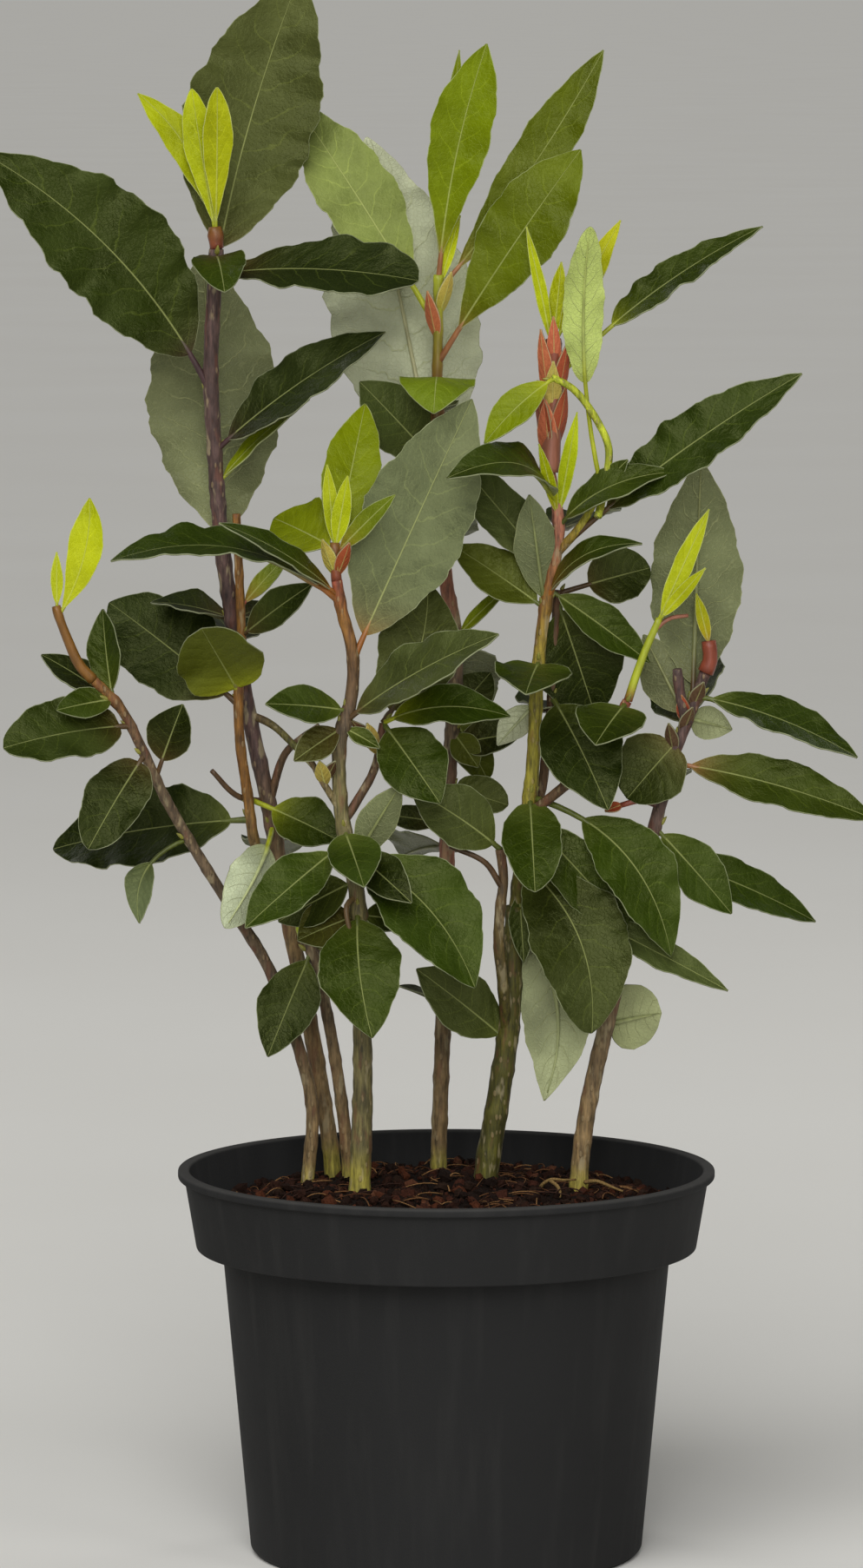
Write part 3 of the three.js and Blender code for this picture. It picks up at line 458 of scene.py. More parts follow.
# %% Leaning stem on the far left
LAYOUT["stem_left_low"] = dict(rods=[
    ((2.2, 1.5), [(0, "heel"), (0.12, "heel"), (0.16, "tan bark"), (0.45, "grey bark"),
                  (0.8, "grey bark"), (0.92, "brown bark"), (1, "orange rind")],
     [(-44, 92, 22), (-44, 117, 22), (-42.5, 142, 22), (-49, 168, 21), (-57, 188, 19),
      (-67, 204, 16), (-80, 225, 10), (-89, 241, 5), (-96, 256, 1), (-102.5, 268.5, -2),
      (-111, 277.5, -4)]),
], leaves=[
    ("dark", "brown", -104, 271, -127.5, 285.5, 12, 13, 0, 58),
    ("green", "green", -105, 271, -108, 300, 6, 12, -30, 15, dict(fold=1.6)),
    ("gloss", "brown", -100, 262.5, -139.6, 256, -15, 24, 0, 42, dict(arch=0.05, blunt=1)),
    ("dark", "brown", -92, 247, -83, 270, -4, 15, 0, 30, dict(petiole=0.25, fold=2)),
    ("dark", "brown", -97, 254, -113, 224, -18, 19.5, 0, 30, dict(arch=0.05, blunt=1)),
    ("grey_under", "green", -82, 228, -97, 200.5, -12, 10, 0, 40,
     dict(arch=0.05, sweep=0.2, petiole=0.4)),
    ("green", "green", -105, 272, -122.8, 268, -10, 11, 0, 30, dict(petiole=0.05, blunt=0.3)),
])

# %% Short stem between them
LAYOUT["stem_left_mid"] = dict(rods=[
    ((2.2, 1.7), [(0, "heel"), (0.22, "heel"), (0.29, "tan bark"), (1, "grey bark")],
     [(-31, 98, 22), (-31, 122, 22), (-33, 142, 22), (-37, 168, 21), (-42, 190, 20),
      (-45, 196, 20)]),
], leaves=[
    ("deep", "green", -44, 191, -56.5, 158, -11, 19, 0, 30),
    ("deep", "brown", -42, 190, -29, 200, 26, 22, 150, 40),
])

# %% Stem in front on the left
LAYOUT["stem_left_front"] = dict(rods=[
    ((3.6, 1.7), [(0, "heel"), (0.13, "heel"), (0.17, "straw bark"), (0.72, "straw bark"),
                  (0.78, "grey bark"), (0.86, "brown bark"), (0.95, "orange rind"),
                  (1, "red rind")],
     [(-27.5, 92, -13), (-27.5, 114, -13), (-26.5, 145, -13), (-27.5, 200, -14), (-29, 215, -15),
      (-33, 235, -16), (-33.5, 258, -17), (-30, 272, -17), (-29.5, 286, -18), (-33, 300, -18),
      (-34.5, 309, -18)]),
    ((1.3, 0.8), [(0, "straw bark"), (1, "dead bark")],
     [(-33, 236, -16), (-37.5, 243, -18), (-41, 249, -19), (-45.5, 257, -20)]),
    ((1, 0.8), [(0, "tan bark"), (1, "dead bark")],
     [(-28.5, 209, -15), (-31.5, 206, -19), (-30, 195.5, -20)]),
    ((1.5, 1.2), "brown bark",
     [(-33, 232, -16), (-29, 238, -15), (-22.5, 250, -13), (-20, 264, -12)]),
], leaves=[
    ("green", "orange", -35, 301, -105.5, 315, -16, 21, 0, 68, dict(arch=0.16, widest=0.6)),
    ("green", "orange", -34, 303, -71.5, 327, -19, 11, 0, 55, dict(arch=0.06)),
    ("silver", "orange", -28.5, 284, 8, 366, 20, 34, 0, 12, dict(arch=0.04)),
    ("green", "green", -31, 267, -57, 270, -14, 14, 0, 35),
    ("brownish", "brown", -33.5, 262, -48, 252, -6, 11, 0, 30),
    ("sage", "brown", -29, 264, 16.5, 292, -18, 22, 0, 50, dict(arch=0.05)),
    ("sage", "brown", -20, 264, -6, 309, 14, 26, 0, 15, dict(arch=0.05, sweep=0.09)),
    ("green", "green", -20, 264, -2, 238.5, -14, 22, 0, 30, dict(wave=1.5)),
    ("green", "yellow", -20, 264, 20, 266, -4, 15, 0, 40, dict(arch=0.18, wave=1.5)),
    ("grey_under", "green", -29, 220, -14.5, 244.5, -8, 12, 180, 0),
    ("green", "green", -33, 230, -26, 212, -26, 17, 0, 45),
    ("dark", "green", -31, 224, -11, 207, -20, 14, 0, 30),
    ("green", "green", -30, 223, 9, 180, -16, 30, 0, 40, dict(arch=0.06, sweep=-0.09)),
    ("green", "green", -31, 226, -63.5, 199, -20, 18, 0, 40, dict(petiole=0.15)),
    ("dull", "green", -28.5, 214, -53, 201, 2, 17, 0, 30),
    ("green", "green", -28, 205, -23.5, 164, -26, 26, 0, 40, dict(arch=0.06, sweep=0.04)),
    ("brownish", "brown", -28, 203, -47, 195, -6, 18, 0, 40),
    ("dark", "green", -27.5, 203, -12, 201, 5, 10, 0, 30),
    ("green", "green", -30, 262, -21, 256, -4, 6, 0, 40),
])

# %% Stem in the middle, behind
LAYOUT["stem_centre"] = dict(rods=[
    ((2.6, 2.1), [(0, "heel"), (0.095, "heel"), (0.12, "tan bark"), (0.42, "grey bark"),
                  (0.46, "pink rind"), (0.5, "grey bark"), (0.72, "grey bark"), (0.77, "pink rind"),
                  (0.84, "brown bark"), (1, "orange rind")],
     [(-2.5, 98, 29), (-2.5, 121, 29), (-1, 170, 29), (0, 200, 28), (0.5, 240, 26), (3, 290, 24),
      (0, 308, 23), (-2, 330, 22), (-3, 370, 20)]),
], leaves=[
    ("pale_under", "pink", -3, 338, -25, 448, 22, 48, 180, 0, dict(arch=0.05)),
    ("light", "yellow", -2, 366, -4, 361.5, -26, 24, 0, 44, dict(arch=0.36, fold=-0.4, blunt=0.5)),
    ("sage", "brown", -3, 345, -27.3, 371.5, -4, 22, 0, 25),
    ("light", "yellow", 3, 292, 20, 307.5, -4, 5, 0, 40),
    ("dark", "brown", 1.5, 266, 14, 280, 8, 14, 0, 30),
    ("dark", "brown", 1.5, 258, 24, 261, -3, 13, 0, 30),
    ("sage", "green", 0.5, 243, 19.5, 238, -4, 14, 0, 30, dict(blunt=1)),
    ("olive", "green", 1, 262, 10, 250, -6, 10, 0, 30),
    ("olive", "green", 2, 266, 13, 246, 4, 12, 0, 30, dict(blunt=1)),
    ("dark", "brown", 0, 232, -20, 235, 4, 9, 0, 30),
    ("dark", "brown", -1, 176, -15, 180.5, -3, 8, 0, 80),
    ("deep", "brown", -0.5, 225, -14, 222, 40, 24, 180, 45),
    ("deep", "brown", 0, 290, 6, 262, 42, 26, 180, 40),
    ("deep", "brown", -2, 330, -6, 318, 42, 28, 180, 40),
    ("deep", "brown", -3, 360, -12, 372, 40, 26, 190, 40),
])

# %% Thick stem right of the middle
LAYOUT["stem_right_mid"] = dict(rods=[
    ((4.2, 3), [(0, "heel"), (0.19, "heel"), (0.24, "green bark"), (1, "green bark")],
     [(12.3, 92, 4), (12.3, 117, 4), (16.5, 145, 4), (20, 170, 4), (21, 195, 4), (22, 206, 4)]),
    ((2.5, 1.6), [(0, "green bark"), (0.25, "golden rind"), (0.55, "golden rind"),
                  (0.75, "orange rind"), (0.88, "pink rind"), (1, "pink rind")],
     [(21, 195, 4), (24, 222, 4), (27, 248, 4), (29, 283, 3), (31, 300, 3), (35, 320, 3),
      (35, 330, 3), (32.5, 343, 3)]),
    ((1.9, 1.5), [(0, "green bark"), (1, "brown bark")],
     [(19, 165, 4), (18, 180, -3), (16.5, 195, -6), (17, 205, -6), (18, 215, -5), (17, 224, -5)]),
    ((1, 0.8), "brown bark",
     [(17.5, 212, -5.5), (12, 220, -8), (1, 225, -10)]),
    ((1.6, 1.3), "brown bark",
     [(27, 236, 4), (30, 243, 9), (31.5, 256, 10), (33, 270, 10), (34.5, 300, 10), (35, 306, 10)]),
    ((1.7, 1.4), [(0, "brown bark"), (0.92, "brown bark"), (1, "red rind")],
     [(27, 236, 4), (31, 239, 0), (41, 247.5, -3), (48, 256, -4), (54, 266, -5), (57, 271, -5)]),
    ((1.5, 1.2), [(0, "orange rind"), (1, "yellow rind")],
     [(35, 318, 3), (42, 326, 1), (49, 339, 0)]),
    ((1.3, 1.1), "yellow rind",
     [(47.6, 329, -6), (49.5, 338, -1), (51, 350, -1), (48, 358, -2), (40, 369, -4),
      (33, 373, -5)]),
], leaves=[
    ("green", "yellow", 34.5, 332, 0, 341, -26, 20, 0, 55, dict(arch=0.25)),
    ("sage", "brown", 32, 311, 4, 346, 10, 16, 0, 20),
    ("silver", "green", 31, 300, 26, 336, -6, 14, 180, 0),
    ("olive", "green", 30, 300, 2, 320, 8, 16, 0, 30),
    ("pale_under", "green", 28, 270, 16, 257, 4, 10, 180, 20),
    ("young", "yellow", 34, 373, 12, 352, -6, 12, 0, 40, dict(arch=0.1)),
    ("bright_under", "yellow", 49, 338, 45, 420, -8, 13, 180, 0,
     dict(petiole=0.4, sweep=0.045, blunt=0.9)),
    ("yellow", "yellow", 35.5, 328, 41, 362, -4, 5, 0, 20),
    ("yellow", "orange", 35, 328, 29, 352, -8, 4, 0, 20),
    ("gloss", "brown", 36, 320, 111.5, 374, -5, 21, 0, 40, dict(arch=0.05, petiole=0.2, wave=1.5)),
    ("green", "green", 35.5, 326, 71, 343, -8, 14, 0, 50, dict(arch=0.15)),
    ("green", "green", 49, 338, 57, 347, -3, 6, 0, 30),
    ("green", "orange", 32, 303, 61.5, 320.5, -8, 12, 0, 60, dict(arch=0.2)),
    ("dull", "brown", 35, 305, 64, 313, 6, 18, 0, 20, dict(blunt=1, petiole=0.33)),
    ("green", "green", 33, 306, 64, 283, 0, 13, 0, 30, dict(fold=2)),
    ("dark", "green", 35, 303, 47, 266, 4, 29, 0, 20),
    ("green", "green", 56, 270, 47, 257, -24, 22, 0, 55),
    ("green", "green", 29, 283, 25, 273, -32, 24, 0, 45),
    ("deep", "green", 33, 272, 51, 236.5, -24, 26, 0, 35, dict(arch=0.08)),
    ("green", "green", 27, 240, 71, 190, -14, 24, 0, 35,
     dict(arch=0.12, sweep=-0.12, petiole=0.25)),
    ("dull", "green", 24, 220, 46, 165.5, -24, 31, 0, 35, dict(arch=0.05, sweep=-0.12, blunt=0.8)),
    ("green", "green", 26, 241, 28, 210.5, -28, 19, 0, 35, dict(blunt=0.9)),
    ("green", "green", 26, 234, 62, 194, -6, 20, 0, 25),
    ("bright_pale", "green", 21, 204, 31, 144, -8, 23, 180, 10, dict(sweep=0.14)),
    ("deep", "green", 22, 212, 24.5, 188, -6, 8, 0, 30),
    ("sage", "green", 25, 212, 89, 179, -10.5, 11, 0, 35, dict(petiole=0.3)),
    ("sage", "green", 17, 224, -11, 243, -4, 20, 0, 25, dict(arch=0.1)),
    ("sage", "green", 18, 163, -9.5, 186, -6, 20, 0, 30),
    ("deep", "brown", 28, 268, 42, 268, 42, 26, 160, 45),
    ("deep", "brown", 35, 325, 50, 330, 38, 24, 160, 40),
])

# %% Stem on the far right
LAYOUT["stem_right"] = dict(rods=[
    ((3.1, 1.7), [(0, "heel"), (0.13, "heel"), (0.17, "tan bark"), (0.55, "grey bark"),
                  (0.8, "purple bark"), (1, "purple bark")],
     [(42, 92, 3), (42, 118, 3), (44.5, 140, 3), (51, 170, 3), (57.5, 196, 3), (65, 228, 2),
      (71, 252, 2), (77, 268, 2), (81.5, 280, 2)]),
    ((1.1, 0.9), [(0, "purple bark"), (1, "red rind")],
     [(67, 238, 2), (61, 239.5, -2), (55, 238, -2)]),
    ((1.9, 1.5), "purple bark",
     [(76, 264, 2), (74, 271, 0), (72.6, 281, -2)]),
], leaves=[
    ("grey_under", "brown", 77.5, 269, 80, 347, 12, 29, 180, 0, dict(arch=0.07)),
    ("green", "green", 78, 272, 129.5, 253, -10, 18, 0, 60, dict(arch=0.06)),
    ("bright_green", "pink", 71, 251, 136, 233, -12, 18, 0, 40, dict(arch=0.06)),
    ("bright_pale", "green", 76, 266, 90, 262, 6, 11, 180, 0),
    ("dull", "brown", 74, 259, 57, 240, -4, 24, 0, 30, dict(blunt=1)),
    ("red", "red", 56, 238, 50, 236, -2, 4, 0, 40),
    ("green", "green", 66, 231, 90, 203.5, -3, 17, 0, 35),
    ("green", "green", 64, 223, 116.5, 201, 18, 15, 0, 35, dict(arch=0.05)),
    ("bright_pale", "green", 51, 169, 68, 172, 9, 22, 180, 10, dict(blunt=1.2)),
    ("grey_under", "brown", 76, 265, 62, 292, 10, 16, 180, 10),
    ("deep", "brown", 70, 248, 60, 246, 40, 24, 180, 45),
    ("deep", "brown", 75, 262, 80, 285, 42, 26, 180, 40),
])

# %% This spring's shoots on the left
LAYOUT["shoot_left_top"] = dict(rods=[
    ((2.2, 1.9), [(0, "red rind"), (1, "orange rind")],
     [(-72, 414, 19), (-72.5, 420, 19)]),
], leaves=[
    ("yellow", "yellow", -72, 417, -96.5, 461.5, 8, 11, 0, 20,
     dict(petiole=0.1, sweep=0.1, widest=0.55)),
    ("yellow", "yellow", -72, 418, -79.6, 463, 1, 10, -10, 20,
     dict(petiole=0.06, widest=0.62, blunt=0.5)),
    ("yellow", "yellow", -72, 418, -71.7, 463.5, -6, 9.5, 10, 20,
     dict(petiole=0.06, widest=0.64, blunt=0.5)),
])

LAYOUT["shoot_left_low"] = dict(rods=[
    ((1.8, 1.3), "orange rind",
     [(-111.8, 278.3, -4), (-115.4, 282.2, -5), (-119, 290, -6), (-122, 298, -7),
      (-122.8, 301, -7)]),
], leaves=[
    ("yellow", "yellow", -121.5, 298, -112, 335, 2, 11, 0, 20,
     dict(petiole=0.04, sweep=0.08, widest=0.58)),
    ("yellow", "yellow", -121.5, 300, -122.5, 318, 2, 4, 0, 20),
])

LAYOUT["shoot_left_front"] = dict(rods=[
    ((1.7, 1.4), [(0, "red rind"), (1, "orange rind")],
     [(-34.6, 309.7, -18), (-35, 315, -18), (-35, 321, -18)]),
], leaves=[
    ("yellow", "yellow", -35, 318, -37.5, 345.5, 1, 5, 0, 20),
    ("yellow", "yellow", -35, 318, -31, 342, -1, 6, 0, 20),
    ("light", "orange", -34, 317, -16, 336, -4, 7, 0, 30),
    ("young", "yellow", -36, 319, -54.1, 328.5, 22, 22, 0, 25),
    ("young", "yellow", -34, 318, -25.5, 364.5, 30, 18, 0, 10),
])

# %% Shoots in the middle and on the right
LAYOUT["shoot_centre_top"] = dict(rods=[
    ((1.7, 1.4), [(0, "orange rind"), (1, "yellow rind")],
     [(-3, 370.8, 20), (-2.6, 388, 20), (-2.5, 405, 19)]),
], leaves=[
    ("fresh", "yellow", -4, 388, -47.8, 459, 30, 25, 0, 25, dict(arch=0.05, petiole=0.2)),
    ("young", "pink", -2, 403, 12.6, 477, 0, 19.5, 0, 20, dict(sweep=-0.03, widest=0.6, fold=1.4)),
    ("young", "pink", -2, 404, 4, 475, 6, 8, 0, 20),
    ("young_dim", "pink", -2, 400, 49, 475, 7, 17, 0, 20, dict(arch=0.02, sweep=0.03, widest=0.55)),
    ("young_dim", "pink", -2, 377, 42, 444, -4, 25, 0, 25,
     dict(arch=0.05, petiole=0.15, widest=0.58)),
    ("yellow", "yellow", -1, 400, 4.3, 423.5, 3, 3.5, 0, 30),
])

LAYOUT["shoot_right_mid_top"] = dict(rods=[
    ((3.3, 2.2), [(0, "pink rind"), (1, "red rind")],
     [(32.4, 344, 3), (33, 355, 3), (34, 370, 3), (33.5, 385, 3)]),
], leaves=[
    ("yellow", "yellow", 34, 383, 54.5, 422, 0, 8, 0, 20),
    ("yellow", "yellow", 33, 380, 25, 420, 0, 4, 0, 20),
    ("yellow", "yellow", 33.5, 384, 36, 409, 2, 6, 0, 20),
    ("green", "yellow", 34, 372, 99, 420, 10, 15, 0, 60,
     dict(arch=0.06, petiole=0.3, widest=0.38, wave=1.2)),
])

LAYOUT["shoot_right_side"] = dict(rods=[
    ((1.4, 1.1), [(0, "red rind"), (0.2, "yellow rind"), (1, "yellow rind")],
     [(57.4, 271.8, -5), (60, 280, -5), (63, 288, -5), (67, 297, -5)]),
    ((0.8, 0.6), "pink rind",
     [(65, 293, -5), (70, 297, -4), (76, 298, -3)]),
], leaves=[
    ("yellow", "yellow", 66, 295, 82.5, 331.5, 4, 6.5, 0, 20),
    ("yellow", "yellow", 67, 296, 81.5, 313, -5, 4.5, 0, 20),
])

# %% Two buds
LAYOUT["bud_right"] = dict(rods=[
    ((2.6, 2.1), "red rind",
     [(81.8, 280.8, 2), (83, 284, 2), (82.5, 290, 2)]),
], leaves=[
    ("yellow", "red", 82.5, 289, 78.5, 305, 0, 4, 0, 20, dict(petiole=0.03)),
])

LAYOUT["bud_left_mid"] = dict(rods=[
    ((1.6, 0.7), [(0, "yellow rind"), (1, "bud")],
     [(-45.5, 196.9, 20), (-46.5, 199, 20), (-46.5, 203, 20)]),
], leaves=[])

# %% [markdown]
# ## The curve through a route
# A stem bends smoothly from place to place. A centripetal Catmull-Rom curve goes through every
# place of the route and never loops between two that lie close, so it suits listed routes.
# place() spreads what stands further back, since the layout was drawn from the eye.

# %% Places and curves
def place(points):
    """Layout places to millimetres around the middle of the pot's underside."""
    points = np.atleast_2d(np.asarray(points, float))
    spread = 1 + points[:, 2] / EYE["distance"]
    return np.column_stack([EYE["across"] + (points[:, 0] - EYE["across"]) * spread, points[:, 2],
                            EYE["up"] + (points[:, 1] - EYE["up"]) * spread])


def curve_through(route, count):
    """count evenly spaced points on the smooth curve through a route."""
    p = np.asarray(route, float)
    p = np.vstack([2 * p[0] - p[1], p, 2 * p[-1] - p[-2]])
    dense = []
    for a, b, c, d in zip(p, p[1:], p[2:], p[3:]):
        knots = np.cumsum([0] + [np.linalg.norm(y - x) ** 0.5 for x, y in ((a, b), (b, c), (c, d))])
        t = np.linspace(knots[1], knots[2], 30, endpoint=False)[:, None]
        mix = lambda x, y, i, j: ((knots[j] - t) * x + (t - knots[i]) * y) / (knots[j] - knots[i])
        ab, bc, cd = mix(a, b, 0, 1), mix(b, c, 1, 2), mix(c, d, 2, 3)
        dense.append(mix(mix(ab, bc, 0, 2), mix(bc, cd, 1, 3), 1, 2))
    dense = np.vstack(dense + [p[-2:-1]])
    run = np.concatenate([[0], np.cumsum(np.linalg.norm(np.diff(dense, axis=0), axis=1))])
    even = np.linspace(0, run[-1], count)
    return np.column_stack([np.interp(even, run, dense[:, i]) for i in range(3)])


def length_of(line):
    """The length of a line of points."""
    return float(np.linalg.norm(np.diff(line, axis=0), axis=1).sum())


trial = curve_through([(0, 0, 0), (0, 0, 50), (10, 0, 100)], 50)
print("a trial route's length:", round(length_of(trial), 1), "mm")

# %% Directions, and the place nearest to a leaf
def look(azimuth, elevation):
    """Unit vector: azimuth 0 is towards the eye, 90 to the right, elevation 90 straight up."""
    a, e = math.radians(azimuth), math.radians(elevation)
    return np.array([math.sin(a) * math.cos(e), -math.cos(a) * math.cos(e), math.sin(e)])


def unit(v):
    """A vector, or each row of an array of them, made one long."""
    return v / np.linalg.norm(v, axis=-1, keepdims=True)


def nearest_place(rods, across, up, steps=120):
    """The rod, the share of its length and the layout place on it that lie nearest."""
    best = None
    for number, (_, _, route) in enumerate(rods):
        line = curve_through(route, steps + 1)
        gaps = np.hypot(line[:, 0] - across, line[:, 1] - up)
        i = int(gaps.argmin())
        if best is None or gaps[i] < best[0]:
            best = (gaps[i], number, i / steps, line[i])
    return best[1:]


print("up and to the right:", look(90, 45).round(2))

# %% [markdown]
# ## Bending a rod
# Stems, stalks, midribs and fibres are all rods. Each starts as Blender's cone with equal ends,
# one long and one in radius. Its long edges are cut into rings, then every ring is moved onto the
# curve and turned to face along it. The turn is carried from ring to ring, so that the rod
# doesn't twist. It is quicker than a bevelled curve object and its radius can swell anywhere.

# %% Rods
def carried_frames(line):
    """Two directions across a line of points, at each point, that don't twist along it."""
    along = unit(np.gradient(line, axis=0))
    start = np.cross(along[0], (0, 1, 0) if abs(along[0][1]) < 0.9 else (1, 0, 0))
    first = [unit(start)]
    for direction in along[1:]:
        first.append(unit(first[-1] - direction * np.dot(first[-1], direction)))
    first = np.array(first)
    return first, np.cross(along, first)


def paint(bm, verts, faces, colours, material, own=0.5):
    """Writes the tint of points, and the material and smooth shading of faces."""
    tint = bm.verts.layers.float_color["tint"]
    for v, colour in zip(verts, colours):
        v[tint] = (colour[0], colour[1], colour[2], own)
    for f in faces:
        f.material_index = material
        f.smooth = True


def rod(bm, line, radii, colours, material, sides=10, rough=0.0):
    """A closed rod along a line of points, with a radius and a colour at each of them."""
    rings = len(line)
    first_vert, first_edge, first_face = len(bm.verts), len(bm.edges), len(bm.faces)
    bmesh.ops.create_cone(bm, cap_ends=True, segments=sides, radius1=1, radius2=1, depth=1)
    bm.edges.ensure_lookup_table()
    long_edges = [e for e in bm.edges[first_edge:]
                  if abs(e.verts[0].co.z - e.verts[1].co.z) > 0.5]
    bmesh.ops.subdivide_edges(bm, edges=long_edges, cuts=rings - 2, use_grid_fill=True)
    bm.verts.ensure_lookup_table()
    bm.faces.ensure_lookup_table()
    verts = bm.verts[first_vert:]
    shape = np.array([v.co for v in verts])
    ring = np.clip(np.round((shape[:, 2] + 0.5) * (rings - 1)).astype(int), 0, rings - 1)
    across, other = carried_frames(np.asarray(line, float))
    radius = np.asarray(radii, float)[ring]
    if rough:
        knobs = [noise.noise(Vector(line[i]) * 0.35 + Vector(s) * 1.3) for i, s in zip(ring, shape)]
        radius = radius * (1 + rough * np.array(knobs))
    turned = shape[:, :1] * across[ring] + shape[:, 1:2] * other[ring]
    spots = line[ring] + radius[:, None] * turned
    for v, spot in zip(verts, spots * MM):
        v.co = spot
    paint(bm, verts, bm.faces[first_face:], np.asarray(colours)[ring], material)


def plain(code):
    """An sRGB hex colour as a linear array without its alpha."""
    return np.array(linear(code)[:3])


def blend_colours(stops, shares):
    """Colours at shares of a length, between stops of (share, linear colour)."""
    at = [s for s, _ in stops]
    return np.column_stack([np.interp(shares, at, [c[i] for _, c in stops]) for i in range(3)])


# %% [markdown]
# ## Bending a leaf
# A leaf blade is a grid with its rows and columns drawn together at the rim, given a thickness of
# half a millimetre and then bent as a whole. The midrib follows an arch, the halves fold up a
# little, and the margins wave, most of all at the very edge, as the real leaf's rim grows faster
# than its middle. The petiole and midrib are a rod that stands proud under the blade.

# %% Grid of a blade
ROW_STEP = 1.6  # millimetres between a blade's rows
LEAST_HALF = 0.28  # of the width, which keeps a little of it at base and tip


def half_width(along, width, widest, blunt):
    """Half the width of an elliptic blade, along from 0 at its base to 1 at its tip."""
    skew = math.log(0.5) / math.log(widest)
    swell = np.sin(math.pi * np.clip(along, 0, 1) ** skew).clip(0)
    return np.maximum(LEAST_HALF, width / 2 * swell ** (0.82 - 0.3 * blunt))


def blade_grid(bm, length, width):
    """A flat closed grid for a blade: its points, its faces and the points' places in it."""
    first_vert, first_face = len(bm.verts), len(bm.faces)
    rows = int(np.clip(length / ROW_STEP, 12, 60))
    bmesh.ops.create_grid(bm, x_segments=16 if width > 10 else 10, y_segments=rows, size=1)
    bm.faces.ensure_lookup_table()
    bmesh.ops.solidify(bm, geom=bm.faces[first_face:], thickness=1)
    bm.verts.ensure_lookup_table()
    bm.faces.ensure_lookup_table()
    verts = bm.verts[first_vert:]
    return verts, bm.faces[first_face:], np.array([v.co for v in verts])


def map_blade(bm, verts, faces, shares, gaps, top):
    """Writes a blade's two maps, and says which faces are upper face, underside and margin."""
    blade_map, gap_map = bm.loops.layers.uv["blade"], bm.loops.layers.uv["gaps"]
    marks = dict(zip(verts, zip(shares, gaps, top)))
    for f in faces:
        on_top = sum(marks[v][2] for v in f.verts)
        f.material_index = UPPER if on_top == 4 else UNDER if on_top == 0 else MARGIN
        f.smooth = True
        for loop in f.loops:
            loop[blade_map].uv, loop[gap_map].uv = marks[loop.vert][:2]


# %% Bend of a blade
BLADE_THICKNESS = 0.5  # millimetres
WAVE_LENGTH = 17.0  # millimetres between crests of the margin
WAVE_HEIGHT = 0.045  # of the margin's waves, as a share of the blade's width
FOLD_RISE = 0.2  # of the margin over the midrib, as a share of half the width
RIPPLE = dict(height=0.02, length=1.15)  # of the very edge: share of half the width, reach
# How the outline strays: by what share of the width, with what reach, and which of the leaf's own
# shifts and how much of its half's phase it takes. A wave is 2 pi times its reach long.
STRAYS = ((0.028, 1.9, 1, 1), (0.03, 4.3, 2, 2), (0.012, 0.7, 3, 1))


def bent_blade(bm, length, width, petiole, widest, blunt, wave, fold, middle, side, upward, dice):
    """A leaf's blade, bent over its midrib: its points, their shares along it, which are on top."""
    verts, faces, shape = blade_grid(bm, length, width)
    top = shape[:, 2] > (shape[:, 2].min() + shape[:, 2].max()) / 2
    a = np.sin(shape[:, 0] * math.pi / 2)
    s = (shape[:, 1] + 1) / 2
    s = 0.6 * s + 0.4 * (1 - np.cos(math.pi * s)) / 2

    half = half_width(s, width, widest, blunt)
    phase = np.where(a < 0, 0.0, 2.0)
    shift = dice.uniform(0, 6, 4)
    swing = wave * WAVE_HEIGHT * 2 * half
    uneven = 0.75 + 0.45 * np.sin(length * s / 7.3 + shift[3] + 2 * phase)
    hurry = 0.7 * np.sin(length * s / 9.1 + shift[1] + phase)
    waves = 2 * math.pi * length / WAVE_LENGTH
    ripple = RIPPLE["height"] * wave * half \
        * np.sin(length * s / RIPPLE["length"] + shift[0] + 2 * phase)
    lift = FOLD_RISE * fold * half * np.abs(a) ** 1.15 + np.abs(a) ** 4 * ripple \
        + np.abs(a) ** 1.8 * swing * uneven * np.sin(waves * s + phase + hurry)
    outline = sum((depth * np.sin(length * s / reach + shift[which] + turn * phase)
                   for depth, reach, which, turn in STRAYS), 1)
    across = a * half * outline
    lift = lift + np.where(top, 0.5, -0.5) * BLADE_THICKNESS
    t = petiole + (1 - petiole) * s
    spots = middle(t) + across[:, None] * side + lift[:, None] * upward(t)
    for v, spot in zip(verts, spots * MM):
        v.co = spot
    map_blade(bm, verts, faces, np.column_stack([(a + 1) / 2, s]),
              np.column_stack([np.abs(across), (1 - np.abs(a)) * half]), top)
    return verts, s, top


# %% Whole leaves
STALK_FADE = 5  # millimetres over which the stalk's colour fades out of the blade
FULL_LENGTH = 95  # millimetres: a leaf as long as this has the most side veins
RIB_PALE = plain("#9ea466")
RIB_END = 0.96  # where the midrib ends, as a share of the leaf's length


